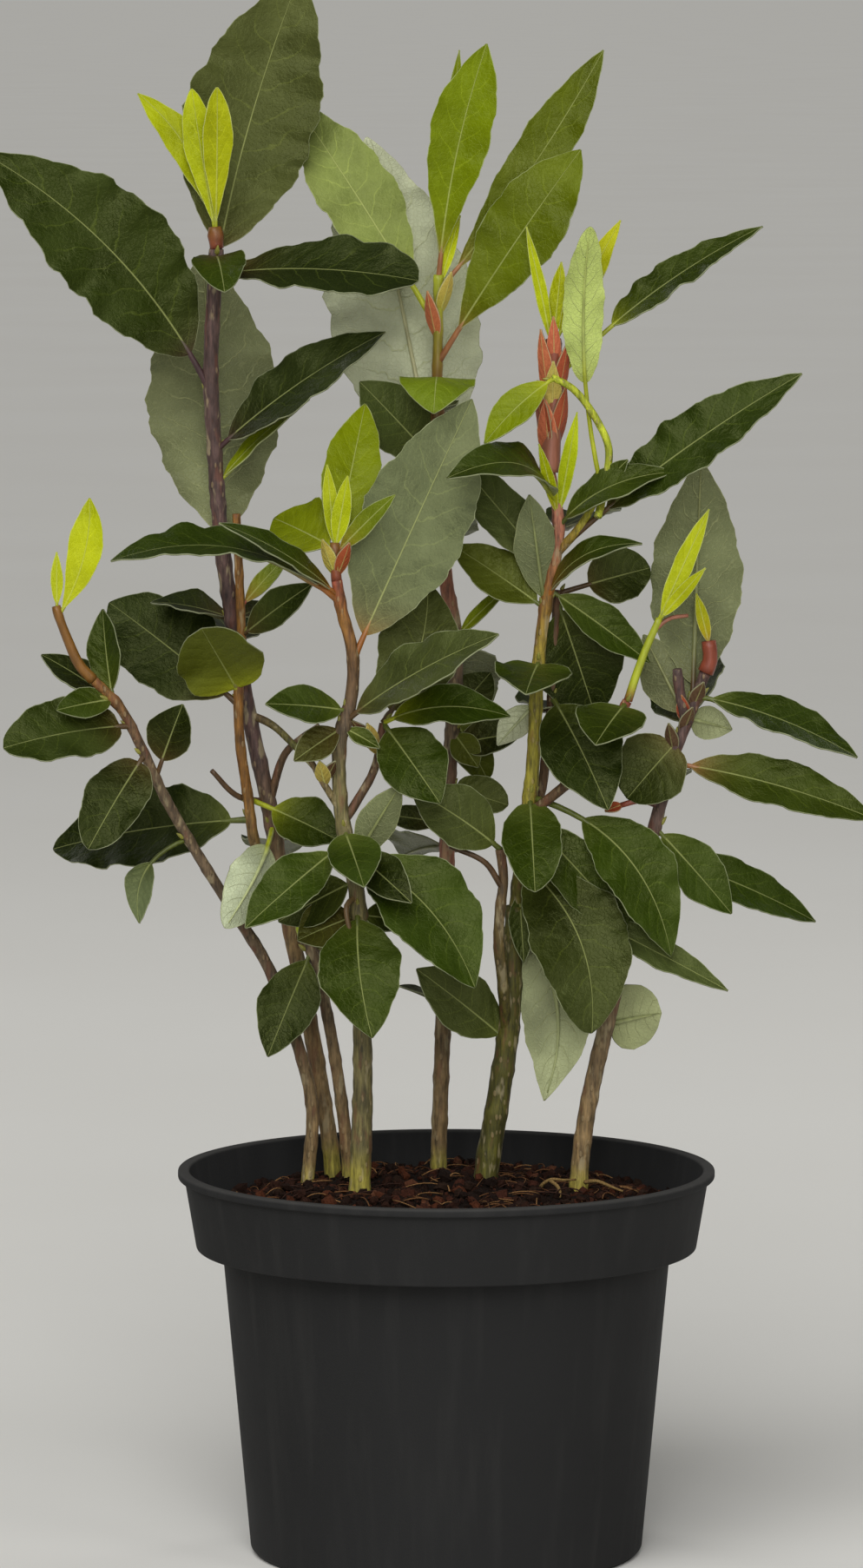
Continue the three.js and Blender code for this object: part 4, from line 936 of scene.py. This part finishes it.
def leaf(bm, root, tip, width, facing, tint, above, stalk, dice, arch=0.03, sweep=0.0, blunt=0.0,
         widest=0.46, petiole=0.09, wave=1.0, fold=1.0):
    """One leaf from its petiole's start in the stem to its tip, in millimetres.

    tint colours its underside and its midrib, above its upper face.
    """
    length = float(np.linalg.norm(tip - root))
    axis = (tip - root) / length
    normal = unit(facing - axis * facing.dot(axis))
    side = np.cross(axis, normal)

    def middle(t):
        hump = (4 * t * (1 - t) * length)[:, None]
        return root + np.outer(t * length, axis) + hump * (arch * normal + sweep * side)

    def upward(t):
        return unit(normal - np.outer(arch * 4 * (1 - 2 * t), axis))

    verts, s, top = bent_blade(bm, length, width, petiole, widest, blunt, wave, fold, middle, side,
                               upward, dice)
    near_base = np.exp(-s * length / STALK_FADE)[:, None] * 0.6
    colours = np.where(top[:, None], above, tint) * (1 - near_base) + stalk * near_base
    own = float(np.clip(length / FULL_LENGTH + dice.uniform(-0.15, 0.15), 0, 1))
    paint(bm, verts, (), colours, UPPER, own)

    stalk_radius = min(0.95, 0.45 + width / 45)  # a wide leaf has a stouter stalk,
    foot_radius = min(1.35, 0.55 + width / 38)  # which widens towards the stem
    share = np.concatenate([np.linspace(0, petiole, 5)[:-1], np.linspace(petiole, RIB_END, 22)])
    run = np.clip((share - petiole) / (1 - petiole), 0, 1)
    radii = stalk_radius * np.where(run > 0, 0.85 * (1 - run) ** 0.8 + 0.14, 1)
    radii = radii + (foot_radius - stalk_radius) * np.clip(1 - share / petiole, 0, 1)
    sink = np.clip(run * 12, 0, 1) * (radii * 0.8 + 0.1)
    line = middle(share) - sink[:, None] * upward(share)
    rib = 0.2 * stalk + 0.8 * (tint * 0.4 + 0.6 * RIB_PALE)
    colours = blend_colours([(0, stalk), (petiole, stalk), (petiole + 0.15, rib), (1, rib)], share)
    rod(bm, line, radii, colours, RIND, sides=6)


# %% [markdown]
# ## Bracts and bud scales
# A new shoot starts as a bud wrapped in scales. As it stretches, its lowest scales stay behind
# as narrow red and cream bracts round its foot, and dry ones ring the wood where a twig starts.
# They have the same rows as the leaves, are only a few millimetres wide and all take one form.

# %% Bracts
SMALL = dict(fold=-1.2, petiole=0.02, wave=0.4)
BRACTS = {
    "shoot_right_mid_top": [
        ("bract_red", "red", 32.5, 346, 28.5, 372, -3, 6.5, -50, 5),
        ("bract_pink", "pink", 32.5, 345, 31, 366, -4, 6.5, -10, 5),
        ("bract_red", "red", 33, 347, 37.5, 370, -3, 6.5, 40, 5),
        ("bract_cream", "pink", 33, 356, 33.5, 378, -4, 6, 0, 5),
        ("bract_pink", "red", 33.5, 360, 29.5, 388, -2, 5.5, -30, 5),
        ("bract_red", "red", 33.5, 362, 38, 384, -3, 5.5, 35, 5),
        ("bract_pink", "pink", 34, 368, 33.5, 392, -3, 5, 0, 5),
    ],
    "shoot_left_front": [
        ("bract_cream", "yellow", -34.7, 310, -39, 322, -4, 5, -30, 5),
        ("bract_red", "orange", -34.7, 310, -30.5, 321, -4, 5, 30, 5),
    ],
    "shoot_centre_top": [
        ("bract_pink", "orange", -2.7, 384, -6, 400, -4, 5, -30, 5),
        ("bract_cream", "yellow", -2.6, 392, 1.5, 406, -4, 5, 30, 5),
    ],
    "stem_left_front": [
        ("bract_cream", "brown", -38, 244, -40, 252, -5, 5, -10, 10),
        ("scale", "brown", -39, 245, -35, 252, -4, 4.5, 30, 10),
        ("bract_cream", "brown", -27, 255, -25, 264, -6, 5, 20, 10),
        ("scale", "brown", -27, 256, -30, 265, -5, 5, -20, 10),
    ],
    "stem_right": [
        ("scale", "purple", 72, 255, 70, 264, -4, 5, -30, 10),
        ("scale", "purple", 74, 260, 77.5, 269, -4, 5, 30, 10),
        ("bract_red", "purple", 75, 264, 74, 273, -4, 4.5, -10, 10),
        ("scale", "purple", 77, 268, 81, 277, -4, 5, 20, 10),
    ],
}
print(sum(map(len, BRACTS.values())), "bracts and scales")

# %% [markdown]
# ## One piece for each stem
# A stem with its twigs, stalks and leaves grows as one, so it is one piece. Where a leaf leaves
# the stem the wood swells a little, a bud sits in the angle, and seeded scars of fallen leaves
# ring the stem in between.

# %% Swollen nodes and buds
SWELLING = dict(height=0.12, length=1.6)  # share of the radius at the rod's top, millimetres
# How far over the stalk a bud sits, and its least and greatest half length, in millimetres.
BUD = dict(above=1.2, least=1.1, most=1.8, colour=plain("#7d7a30"))


def swollen(shares, length, ends, nodes):
    """A rod's radius at shares of its length: a taper with a low swelling at each node."""
    radius = ends[0] + (ends[1] - ends[0]) * shares
    for at in nodes:
        off = (shares - at) * length / SWELLING["length"]
        radius = radius + SWELLING["height"] * ends[1] * np.exp(-off ** 2)
    return radius


def axil_bud(bm, root, direction, outward, size, colour):
    """A pointed bud a few millimetres long in the angle between stem and stalk."""
    first_vert, first_face = len(bm.verts), len(bm.faces)
    ball = bmesh.ops.create_icosphere(bm, subdivisions=2, radius=1)
    bm.faces.ensure_lookup_table()
    side = unit(np.cross(direction, outward))
    flat = np.cross(side, direction)
    for v in ball["verts"]:
        x, y, z = v.co
        taper = 0.45 * (1 - z * 0.55)
        spot = root + size * (direction * (z * 1.1 + 0.9) + side * x * taper + flat * y * taper)
        v.co = spot * MM
    paint(bm, ball["verts"], bm.faces[first_face:], [colour] * len(ball["verts"]), RIND)


# %% Rods of a stem
FOOT_REACH = 0.8  # a shoot's foot runs on into the stem that bears it, in millimetres
RING_STEP = 1.5  # millimetres between a rod's rings
SCARS = dict(step=14, clear=4)  # millimetres between leaf scars, and from a leaf
STOUT = 1.5  # a rod with a thicker foot swells at its nodes
THIN = 1.2  # a rod with a thinner foot has no bark yet


def grow_rod(bm, ends, stops, route, nodes, young, reaching, dice):
    """One rod of a stem, with a swelling at each leaf and each scar."""
    flat = place(route)
    if reaching:
        flat[0] -= unit(flat[1] - flat[0]) * FOOT_REACH
    length = length_of(curve_through(flat, 200))
    rings = max(6, int(length / RING_STEP))
    scars = [x for x in np.arange(0.05, 1, SCARS["step"] / length) + dice.uniform(-0.01, 0.01)
             if all(abs(x - n) * length > SCARS["clear"] for n in nodes)]
    stout = ends[0] > STOUT
    shares = np.linspace(0, 1, rings)
    radii = swollen(shares, length, ends, (nodes + ([] if young else scars)) * stout)
    if isinstance(stops, str):
        stops = [(0, stops)]
    colours = blend_colours([(at, linear(STEM_COLOURS[c])) for at, c in stops], shares)
    rod(bm, curve_through(flat, rings), radii, colours, RIND if young or ends[0] < THIN else BARK,
        sides=12 if stout else 8, rough=0.0 if young else 0.07)


# %% Whole stems
BUD_WIDTH = 9  # millimetres: narrower leaves have no bud that shows
HUGGING = 0.97  # cosine past which a leaf lies along its stem and hides its bud
BUD_STEPS = 39  # into which a rod is cut to find its direction at a bud


def grow(name):
    """One stem or shoot of the layout, as a piece."""
    layout, dice = LAYOUT[name], np.random.default_rng(sum(map(ord, name)))
    rods, rows = layout["rods"], layout["leaves"]
    bm = bmesh.new()
    bm.verts.layers.float_color.new("tint")
    bm.loops.layers.uv.new("blade")
    bm.loops.layers.uv.new("gaps")
    young = not name.startswith("stem")
    rooted = [nearest_place(rods, row[2], row[3]) for row in rows]
    for number, (ends, stops, route) in enumerate(rods):
        nodes = [share for on, share, _ in rooted if on == number]
        grow_rod(bm, ends, stops, route, nodes, young, young and number == 0, dice)
    bracts = [row + (SMALL,) for row in BRACTS.get(name, [])]
    rooted += [nearest_place(rods, row[2], row[3]) for row in bracts]
    for row, (number, share, root) in zip(rows + bracts, rooted):
        kind, stalk, _, _, tip_across, tip_up, tip_depth, width, azimuth, elevation, *form = row
        foot, tip = place(root)[0], place((tip_across, tip_up, root[2] + tip_depth))[0]
        shade = 1 + dice.uniform(-0.12, 0.12)
        tint = plain(LEAF_COLOURS[kind]) * shade * dice.uniform(0.95, 1.05, 3)
        above = tint if abs(azimuth) < 90 else plain(LEAF_COLOURS["green"]) * shade
        leaf(bm, foot, tip, width, look(azimuth, elevation), tint, above,
             plain(STALK_COLOURS[stalk]), dice, **(form[0] if form else {}))
        line = place(curve_through(rods[number][2], BUD_STEPS + 1))
        i = min(int(share * BUD_STEPS), BUD_STEPS - 1)
        upwards, outward = unit(line[i + 1] - line[i]), unit(tip - foot)
        if width > BUD_WIDTH and not young and kind != "scale" \
                and outward.dot(upwards) < HUGGING:
            out = unit(outward - upwards * outward.dot(upwards))
            seat = foot + out * (rods[number][0][1] * 0.8) + upwards * BUD["above"]
            axil_bud(bm, seat, unit(upwards + 0.5 * out), out,
                     dice.uniform(BUD["least"], BUD["most"]), BUD["colour"] * shade)
    piece = finished("leafy_" + name, bm, PLANT_MATERIALS)
    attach(piece, "root")
    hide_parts(name)


for name in LAYOUT:
    grow(name)
print("the plant has", sum(len(layout["leaves"]) for layout in LAYOUT.values()), "leaves in all")

# %% [markdown]
# ## The pot
# The pot is injection-moulded polypropylene: a tapering body, a wider band round its top that
# stiffens it and a small lip. Its mould was turned on a lathe, and here the spin operator does the
# same: it carries a drawn profile once round the axis. Corners get a small bevel, since a mould
# never fills a knife edge, and a boolean cuts the drainage holes.

# %% Pot shape
# Radii of the lip, the band's ends, the shoulder under it and the foot, the other lengths along
# the height or through a wall, all in millimetres.
POT = dict(height=122.5, lip=85.0, lip_height=2.6, band_top=83.0, band_bottom=79.2, band=25.0,
           shoulder=71.0, foot=62.2, wall=1.6, floor=1.8)
DRAIN = dict(count=8, radius=3.5, ring=46.0)
BAND_FOOT = POT["height"] - POT["band"]
CORNER = 0.6 * MM  # the bevel of the pot's edges
SHARP = math.radians(24)  # an edge that bends more is bevelled


def inner_radius(height):
    """Radius of the pot's inside at a height, below its band and in it."""
    if height < BAND_FOOT:
        return np.interp(height, (0, BAND_FOOT), (POT["foot"], POT["shoulder"])) - POT["wall"]
    ends = (POT["band_bottom"], POT["band_top"])
    return np.interp(height, (BAND_FOOT, POT["height"]), ends) - POT["wall"]


def spun(profile, steps):
    """A closed shape turned round the axis from a profile of (radius, height) in millimetres."""
    bm = bmesh.new()
    verts = [bm.verts.new((r * MM, 0, z * MM)) for r, z in profile]
    edges = [bm.edges.new(pair) for pair in zip(verts, verts[1:])]
    bmesh.ops.spin(bm, geom=verts + edges, cent=(0, 0, 0), axis=(0, 0, 1), angle=2 * math.pi,
                   steps=steps, use_merge=True)
    bmesh.ops.remove_doubles(bm, verts=bm.verts[:], dist=1e-6)
    bmesh.ops.recalc_face_normals(bm, faces=bm.faces[:])
    return bm


lip_foot = POT["height"] - POT["lip_height"]
pot_profile = [
    (0, 0), (POT["foot"] - POT["wall"], 0), (POT["foot"], POT["floor"]),
    (POT["shoulder"], BAND_FOOT),
    (POT["band_bottom"], BAND_FOOT), (POT["band_top"], lip_foot), (POT["lip"], lip_foot),
    (POT["lip"], POT["height"]), (POT["band_top"] - POT["wall"], POT["height"]),
    (inner_radius(BAND_FOOT + POT["floor"]), BAND_FOOT + POT["floor"]),
    (inner_radius(BAND_FOOT - 0.01), BAND_FOOT + POT["floor"]),
    (inner_radius(POT["floor"]), POT["floor"]), (0, POT["floor"]),
]
bm = spun(pot_profile, 144)
corners = [e for e in bm.edges if len(e.link_faces) == 2 and e.calc_face_angle() > SHARP
           and abs(e.verts[0].co.z - e.verts[1].co.z) < 1e-6 and e.verts[0].co.length > 50 * MM]
bmesh.ops.bevel(bm, geom=corners, offset=CORNER, affect="EDGES", segments=3, profile=0.5,
                material=-1)
for f in bm.faces:
    f.smooth = True
pot = finished("nursery_pot", bm, [])

# %% Drainage holes
bm = bmesh.new()
for i in range(DRAIN["count"]):
    angle = 2 * math.pi * (i + 0.5) / DRAIN["count"]
    spot = (DRAIN["ring"] * MM * math.cos(angle), DRAIN["ring"] * MM * math.sin(angle), 0)
    bmesh.ops.create_cone(bm, cap_ends=True, segments=32, radius1=DRAIN["radius"] * MM,
                          radius2=DRAIN["radius"] * MM, depth=10 * MM,
                          matrix=Matrix.Translation(spot))
pins = finished("pins", bm, [])
cut = pot.modifiers.new("drain", "BOOLEAN")
cut.operation, cut.object, cut.solver = "DIFFERENCE", pins, "EXACT"
whole = bpy.data.meshes.new_from_object(pot.evaluated_get(bpy.context.evaluated_depsgraph_get()))
pot.modifiers.clear()
pot.data = whole
bpy.data.objects.remove(pins)
whole.set_sharp_from_angle(angle=math.radians(38))
print("with its holes, the pot has", len(whole.polygons), "faces")

# %% [markdown]
# *Material: polypropylene, injection moulded, with carbon black.* Nearly black, IOR 1.49, taken
# lower here because a dull film of dust leaves little shine on the pot's flanks, which also makes
# it rougher than new plastic. The mould's surface was spark-eroded, which leaves a pebbled grain
# of about a third of a millimetre, drawn here at half a millimetre. The top millimetre of the lip
# is painted lighter: partly a rim rubbed slightly greyer by handling, partly a painted highlight
# along its edge. Watering leaves faint upright runs of lime and peat dust.

# %% Pot plastic
plastic = empty_material("moulded_black_polypropylene")
spot = add(plastic, "TexCoord").outputs["Object"]
level = add(plastic, "SeparateXYZ", {0: spot}).outputs["Z"]
pebble = add(plastic, "TexNoise", {"Vector": spot, "Scale": repeats(0.5), "Detail": 2.0})
cloud = add(plastic, "TexNoise", {"Vector": spot, "Scale": repeats(45.5), "Detail": 5.0,
                                  "Roughness": 0.6})
runs_map = add(plastic, "Mapping", {"Vector": spot, "Scale": (1.0, 1.0, 0.06)})
runs = add(plastic, "TexNoise", {"Vector": runs_map, "Scale": repeats(6.25), "Detail": 4.0})
# Top millimetre of the lip: partly rubbed wear, partly a painted highlight along the edge.
rim_wear_and_painted_highlight = add(plastic, "MapRange", {0: level, 1: 0.1216, 2: 0.1226})
dusty = add(plastic, "MapRange", {0: runs, 1: 0.5, 2: 0.8, 3: 0.0, 4: 0.1})
film = add(plastic, "Math", {0: cloud, 1: dusty}, operation="MULTIPLY")
film = add(plastic, "Math", {0: rim_wear_and_painted_highlight, 1: 0.22, 2: film}, operation="MULTIPLY_ADD")
colour = add(plastic, "Mix", {0: film, 6: linear("#242424"), 7: linear("#6e6c68")},
             data_type="RGBA")
satin = add(plastic, "MapRange", {0: cloud, 1: 0.3, 2: 0.7, 3: 0.7, 4: 0.85})
relief = add(plastic, "Bump", {"Height": pebble, "Distance": 0.12 * MM, "Strength": 0.5})
surface(plastic, {"Base Color": colour, "Roughness": satin, "IOR": 1.25, "Normal": relief})
pot.data.materials.clear()
pot.data.materials.append(plastic)
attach(pot, "root")
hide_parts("pot")

# %% [markdown]
# ## The potting mix
# Potting mix is peat with coir: a low mound of dark crumbs from half a millimetre to six, held
# together by fine brown fibres. Its body is spun like the pot and roughened. The crumbs are one
# icosphere of twenty faces, doubled again and again by the duplicate operator, then each copy is
# given its own size, squash, turn and place. Twenty faces are enough at this size.

# %% Mound
# Heights of the surface in the middle and at the edge, its bumps, the gap where it has shrunk
# from the wall, its play in the pot, the height of its underside, and how far its body lies under
# its crumbs, all in millimetres.
SOIL = dict(middle=118.0, edge=110.0, bump=1.3, shrunk=5.5, play=0.5, under=2.2, sunk=0.9)
SOIL_EDGE = inner_radius(SOIL["edge"]) - 0.6
dice = np.random.default_rng(11)


def mound(x, y):
    """Height of the mix's surface over a place, in millimetres."""
    share = np.hypot(x, y) / SOIL_EDGE
    lump = SOIL["bump"] * (np.sin(x / 9 + 1) * np.cos(y / 11) + 0.6 * np.sin((x + 2 * y) / 17))
    return SOIL["middle"] + (SOIL["edge"] - SOIL["middle"]) * np.clip(share, 0, 1) ** 2 + lump


def drawn_in(x, y):
    """Where a place near the wall moves to, as the mix has shrunk from the wall on the left."""
    radius = np.maximum(np.hypot(x, y), 1)
    pull = 1 - SOIL["shrunk"] / SOIL_EDGE * np.maximum(0, -x / radius) ** 3
    pull = np.where(radius > 0.7 * SOIL_EDGE, pull, 1)
    return x * pull, y * pull


soil_profile = [(0, SOIL["under"]), (inner_radius(2) - SOIL["play"], SOIL["under"]),
                (inner_radius(BAND_FOOT - 1) - SOIL["play"], BAND_FOOT + 2.4),
                (inner_radius(BAND_FOOT + 3) - SOIL["play"], BAND_FOOT + 2.6)]
soil_profile += [(r, SOIL["edge"] + (SOIL["middle"] - SOIL["edge"]) * (1 - (r / SOIL_EDGE) ** 2))
                 for r in np.linspace(SOIL_EDGE, 0, 42)]
bm = spun(soil_profile, 120)
tint = bm.verts.layers.float_color.new("tint")
for v in bm.verts:
    x, y, z = v.co / MM
    if z > SOIL["edge"] - 0.5:
        rough = noise.noise(Vector((x, y, 0)) * 0.28) + 0.6 * noise.noise(Vector((x, y, 3)) * 0.8)
        z = mound(x, y) - SOIL["sunk"] + 1.1 * rough
        x, y = drawn_in(x, y)
        v.co = Vector((x, y, z)) * MM
    v[tint] = linear("#150d09")
for f in bm.faces:
    f.smooth = True
print("the mound has", len(bm.faces), "faces")

# %% Crumbs
CRUMB_SHARES = {"#1c0f09": 0.25, "#27150d": 0.2, "#351b11": 0.16, "#160c07": 0.2,
                "#422213": 0.07, "#24170f": 0.08, "#503020": 0.04}
CRUMB_RADII = (0.45, 2.55)
DOUBLINGS = 12
crumbs = bmesh.new()
crumb_tint = crumbs.verts.layers.float_color.new("tint")
bmesh.ops.create_icosphere(crumbs, subdivisions=1, radius=1)
each = len(crumbs.verts)
for _ in range(DOUBLINGS):
    bmesh.ops.duplicate(crumbs, geom=crumbs.verts[:] + crumbs.edges[:] + crumbs.faces[:])
count = len(crumbs.verts) // each
ball = np.array([v.co for v in crumbs.verts]).reshape(count, each, 3)
size = CRUMB_RADII[0] + (CRUMB_RADII[1] - CRUMB_RADII[0]) * dice.uniform(0, 1, count) ** 3.2
squash = dice.uniform(0.55, 1.25, (count, 3))
ball = ball * (1 + dice.uniform(-0.28, 0.28, (count, each, 1)))
ball = ball * (size[:, None] * squash)[:, None, :]

# %% Turns, places and colours of the crumbs
w, x, y, z = unit(dice.normal(size=(count, 4))).T  # a turn each, as a quaternion
turn = np.array([[1 - 2 * (y * y + z * z), 2 * (x * y - z * w), 2 * (x * z + y * w)],
                 [2 * (x * y + z * w), 1 - 2 * (x * x + z * z), 2 * (y * z - x * w)],
                 [2 * (x * z - y * w), 2 * (y * z + x * w), 1 - 2 * (x * x + y * y)]])
ball = np.einsum("ijn,nkj->nki", turn, ball)
radius = (SOIL_EDGE - 2.2) * np.sqrt(dice.uniform(0, 1, count))
angle = dice.uniform(0, 2 * math.pi, count)
px, py = radius * np.cos(angle), radius * np.sin(angle)
pz = mound(px, py) - 0.5 + size * dice.uniform(-0.5, 0.5, count)
px, py = drawn_in(px, py)
ball += np.column_stack([px, py, pz])[:, None, :]
colours = [linear(c) for c in CRUMB_SHARES]
picked = dice.choice(len(colours), count, p=list(CRUMB_SHARES.values()))
for i, v in enumerate(crumbs.verts):
    v.co = ball[i // each, i % each] * MM
    v[crumb_tint] = colours[picked[i // each]]
crumb_mesh = bpy.data.meshes.new("crumbs")
crumbs.to_mesh(crumb_mesh)
crumbs.free()
bm.from_mesh(crumb_mesh)
bpy.data.meshes.remove(crumb_mesh)
print(count, "crumbs up to", round(float(2 * size.max() * squash.max()), 1), "mm across")

# %% Fibres and a few bared roots
FIBRE_COLOURS = ["#4a2f1d", "#5f4128", "#33211a", "#7a5a38"]
FIBRES = 230
ROOTS = ([(29.5, 112, 2), (30, 116.5, -2), (33, 118.8, -4), (37, 118.6, -4), (41, 118.8, -1)],
         [(33, 118.4, -5), (35, 116.8, -8), (36, 115, -11), (36, 113, -14)],
         [(44, 118, -1), (48, 118.2, -5), (52, 116.6, -7), (56, 115, -8)])

for i in range(FIBRES):
    reach, angle = (SOIL_EDGE - 8) * math.sqrt(dice.uniform()), dice.uniform(0, 2 * math.pi)
    heading, length = dice.uniform(0, 2 * math.pi), dice.uniform(5, 15)
    bend = dice.uniform(-1.6, 1.6)
    steps = np.linspace(-0.5, 0.5, 6)
    fx = reach * math.cos(angle) + length * np.cumsum(np.cos(heading + bend * steps)) / 6
    fy = reach * math.sin(angle) + length * np.cumsum(np.sin(heading + bend * steps)) / 6
    far = np.maximum(np.hypot(fx, fy) / (SOIL_EDGE - 7), 1)
    fx, fy = drawn_in(fx / far, fy / far)
    lifted = mound(fx, fy) + 0.5 + dice.uniform(0.2, 1.4) * (1 - 4 * steps ** 2)
    colour = linear(FIBRE_COLOURS[dice.integers(4)])
    rod(bm, np.column_stack([fx, fy, lifted]), [dice.uniform(0.13, 0.26)] * 6, [colour[:3]] * 6, 0,
        sides=4)
for route in ROOTS:
    line = curve_through(place(route), 24)
    rod(bm, line, np.linspace(0.75, 0.35, 24), [plain("#77603a")] * 24, 0, sides=6, rough=0.2)
for f in bm.faces:
    f.material_index = 0
print(FIBRES, "fibres and", len(ROOTS), "roots")

# %% [markdown]
# *Material: peat and coir, loose.* Hardly any gloss, and only in its damper spots, so it is nearly
# as rough as can be, with a low IOR for its many small hollows. Each crumb and fibre brings its
# own brown, and a grit of about two thirds of a millimetre breaks its surface.

# %% Peat
peat = empty_material("damp_peat_and_coir")
tint = add(peat, "Attribute", attribute_name="tint")
spot = add(peat, "TexCoord").outputs["Object"]
grit = add(peat, "TexNoise", {"Vector": spot, "Scale": repeats(2 / 3), "Detail": 3.0,
                              "Roughness": 0.7})
share = add(peat, "MapRange", {0: grit, 1: 0.3, 2: 0.7, 3: 0.55, 4: 1.5})
brown = add(peat, "VectorMath", {0: tint, "Scale": share}, operation="SCALE")
damp = add(peat, "MapRange", {0: grit, 1: 0.35, 2: 0.65, 3: 0.95, 4: 0.7})
relief = add(peat, "Bump", {"Height": grit, "Distance": 0.4 * MM, "Strength": 0.8})
surface(peat, {"Base Color": brown, "Roughness": damp, "IOR": 1.2, "Normal": relief})
soil = finished("peat_mix", bm, [peat])
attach(soil, "root")
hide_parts("potting_mix")
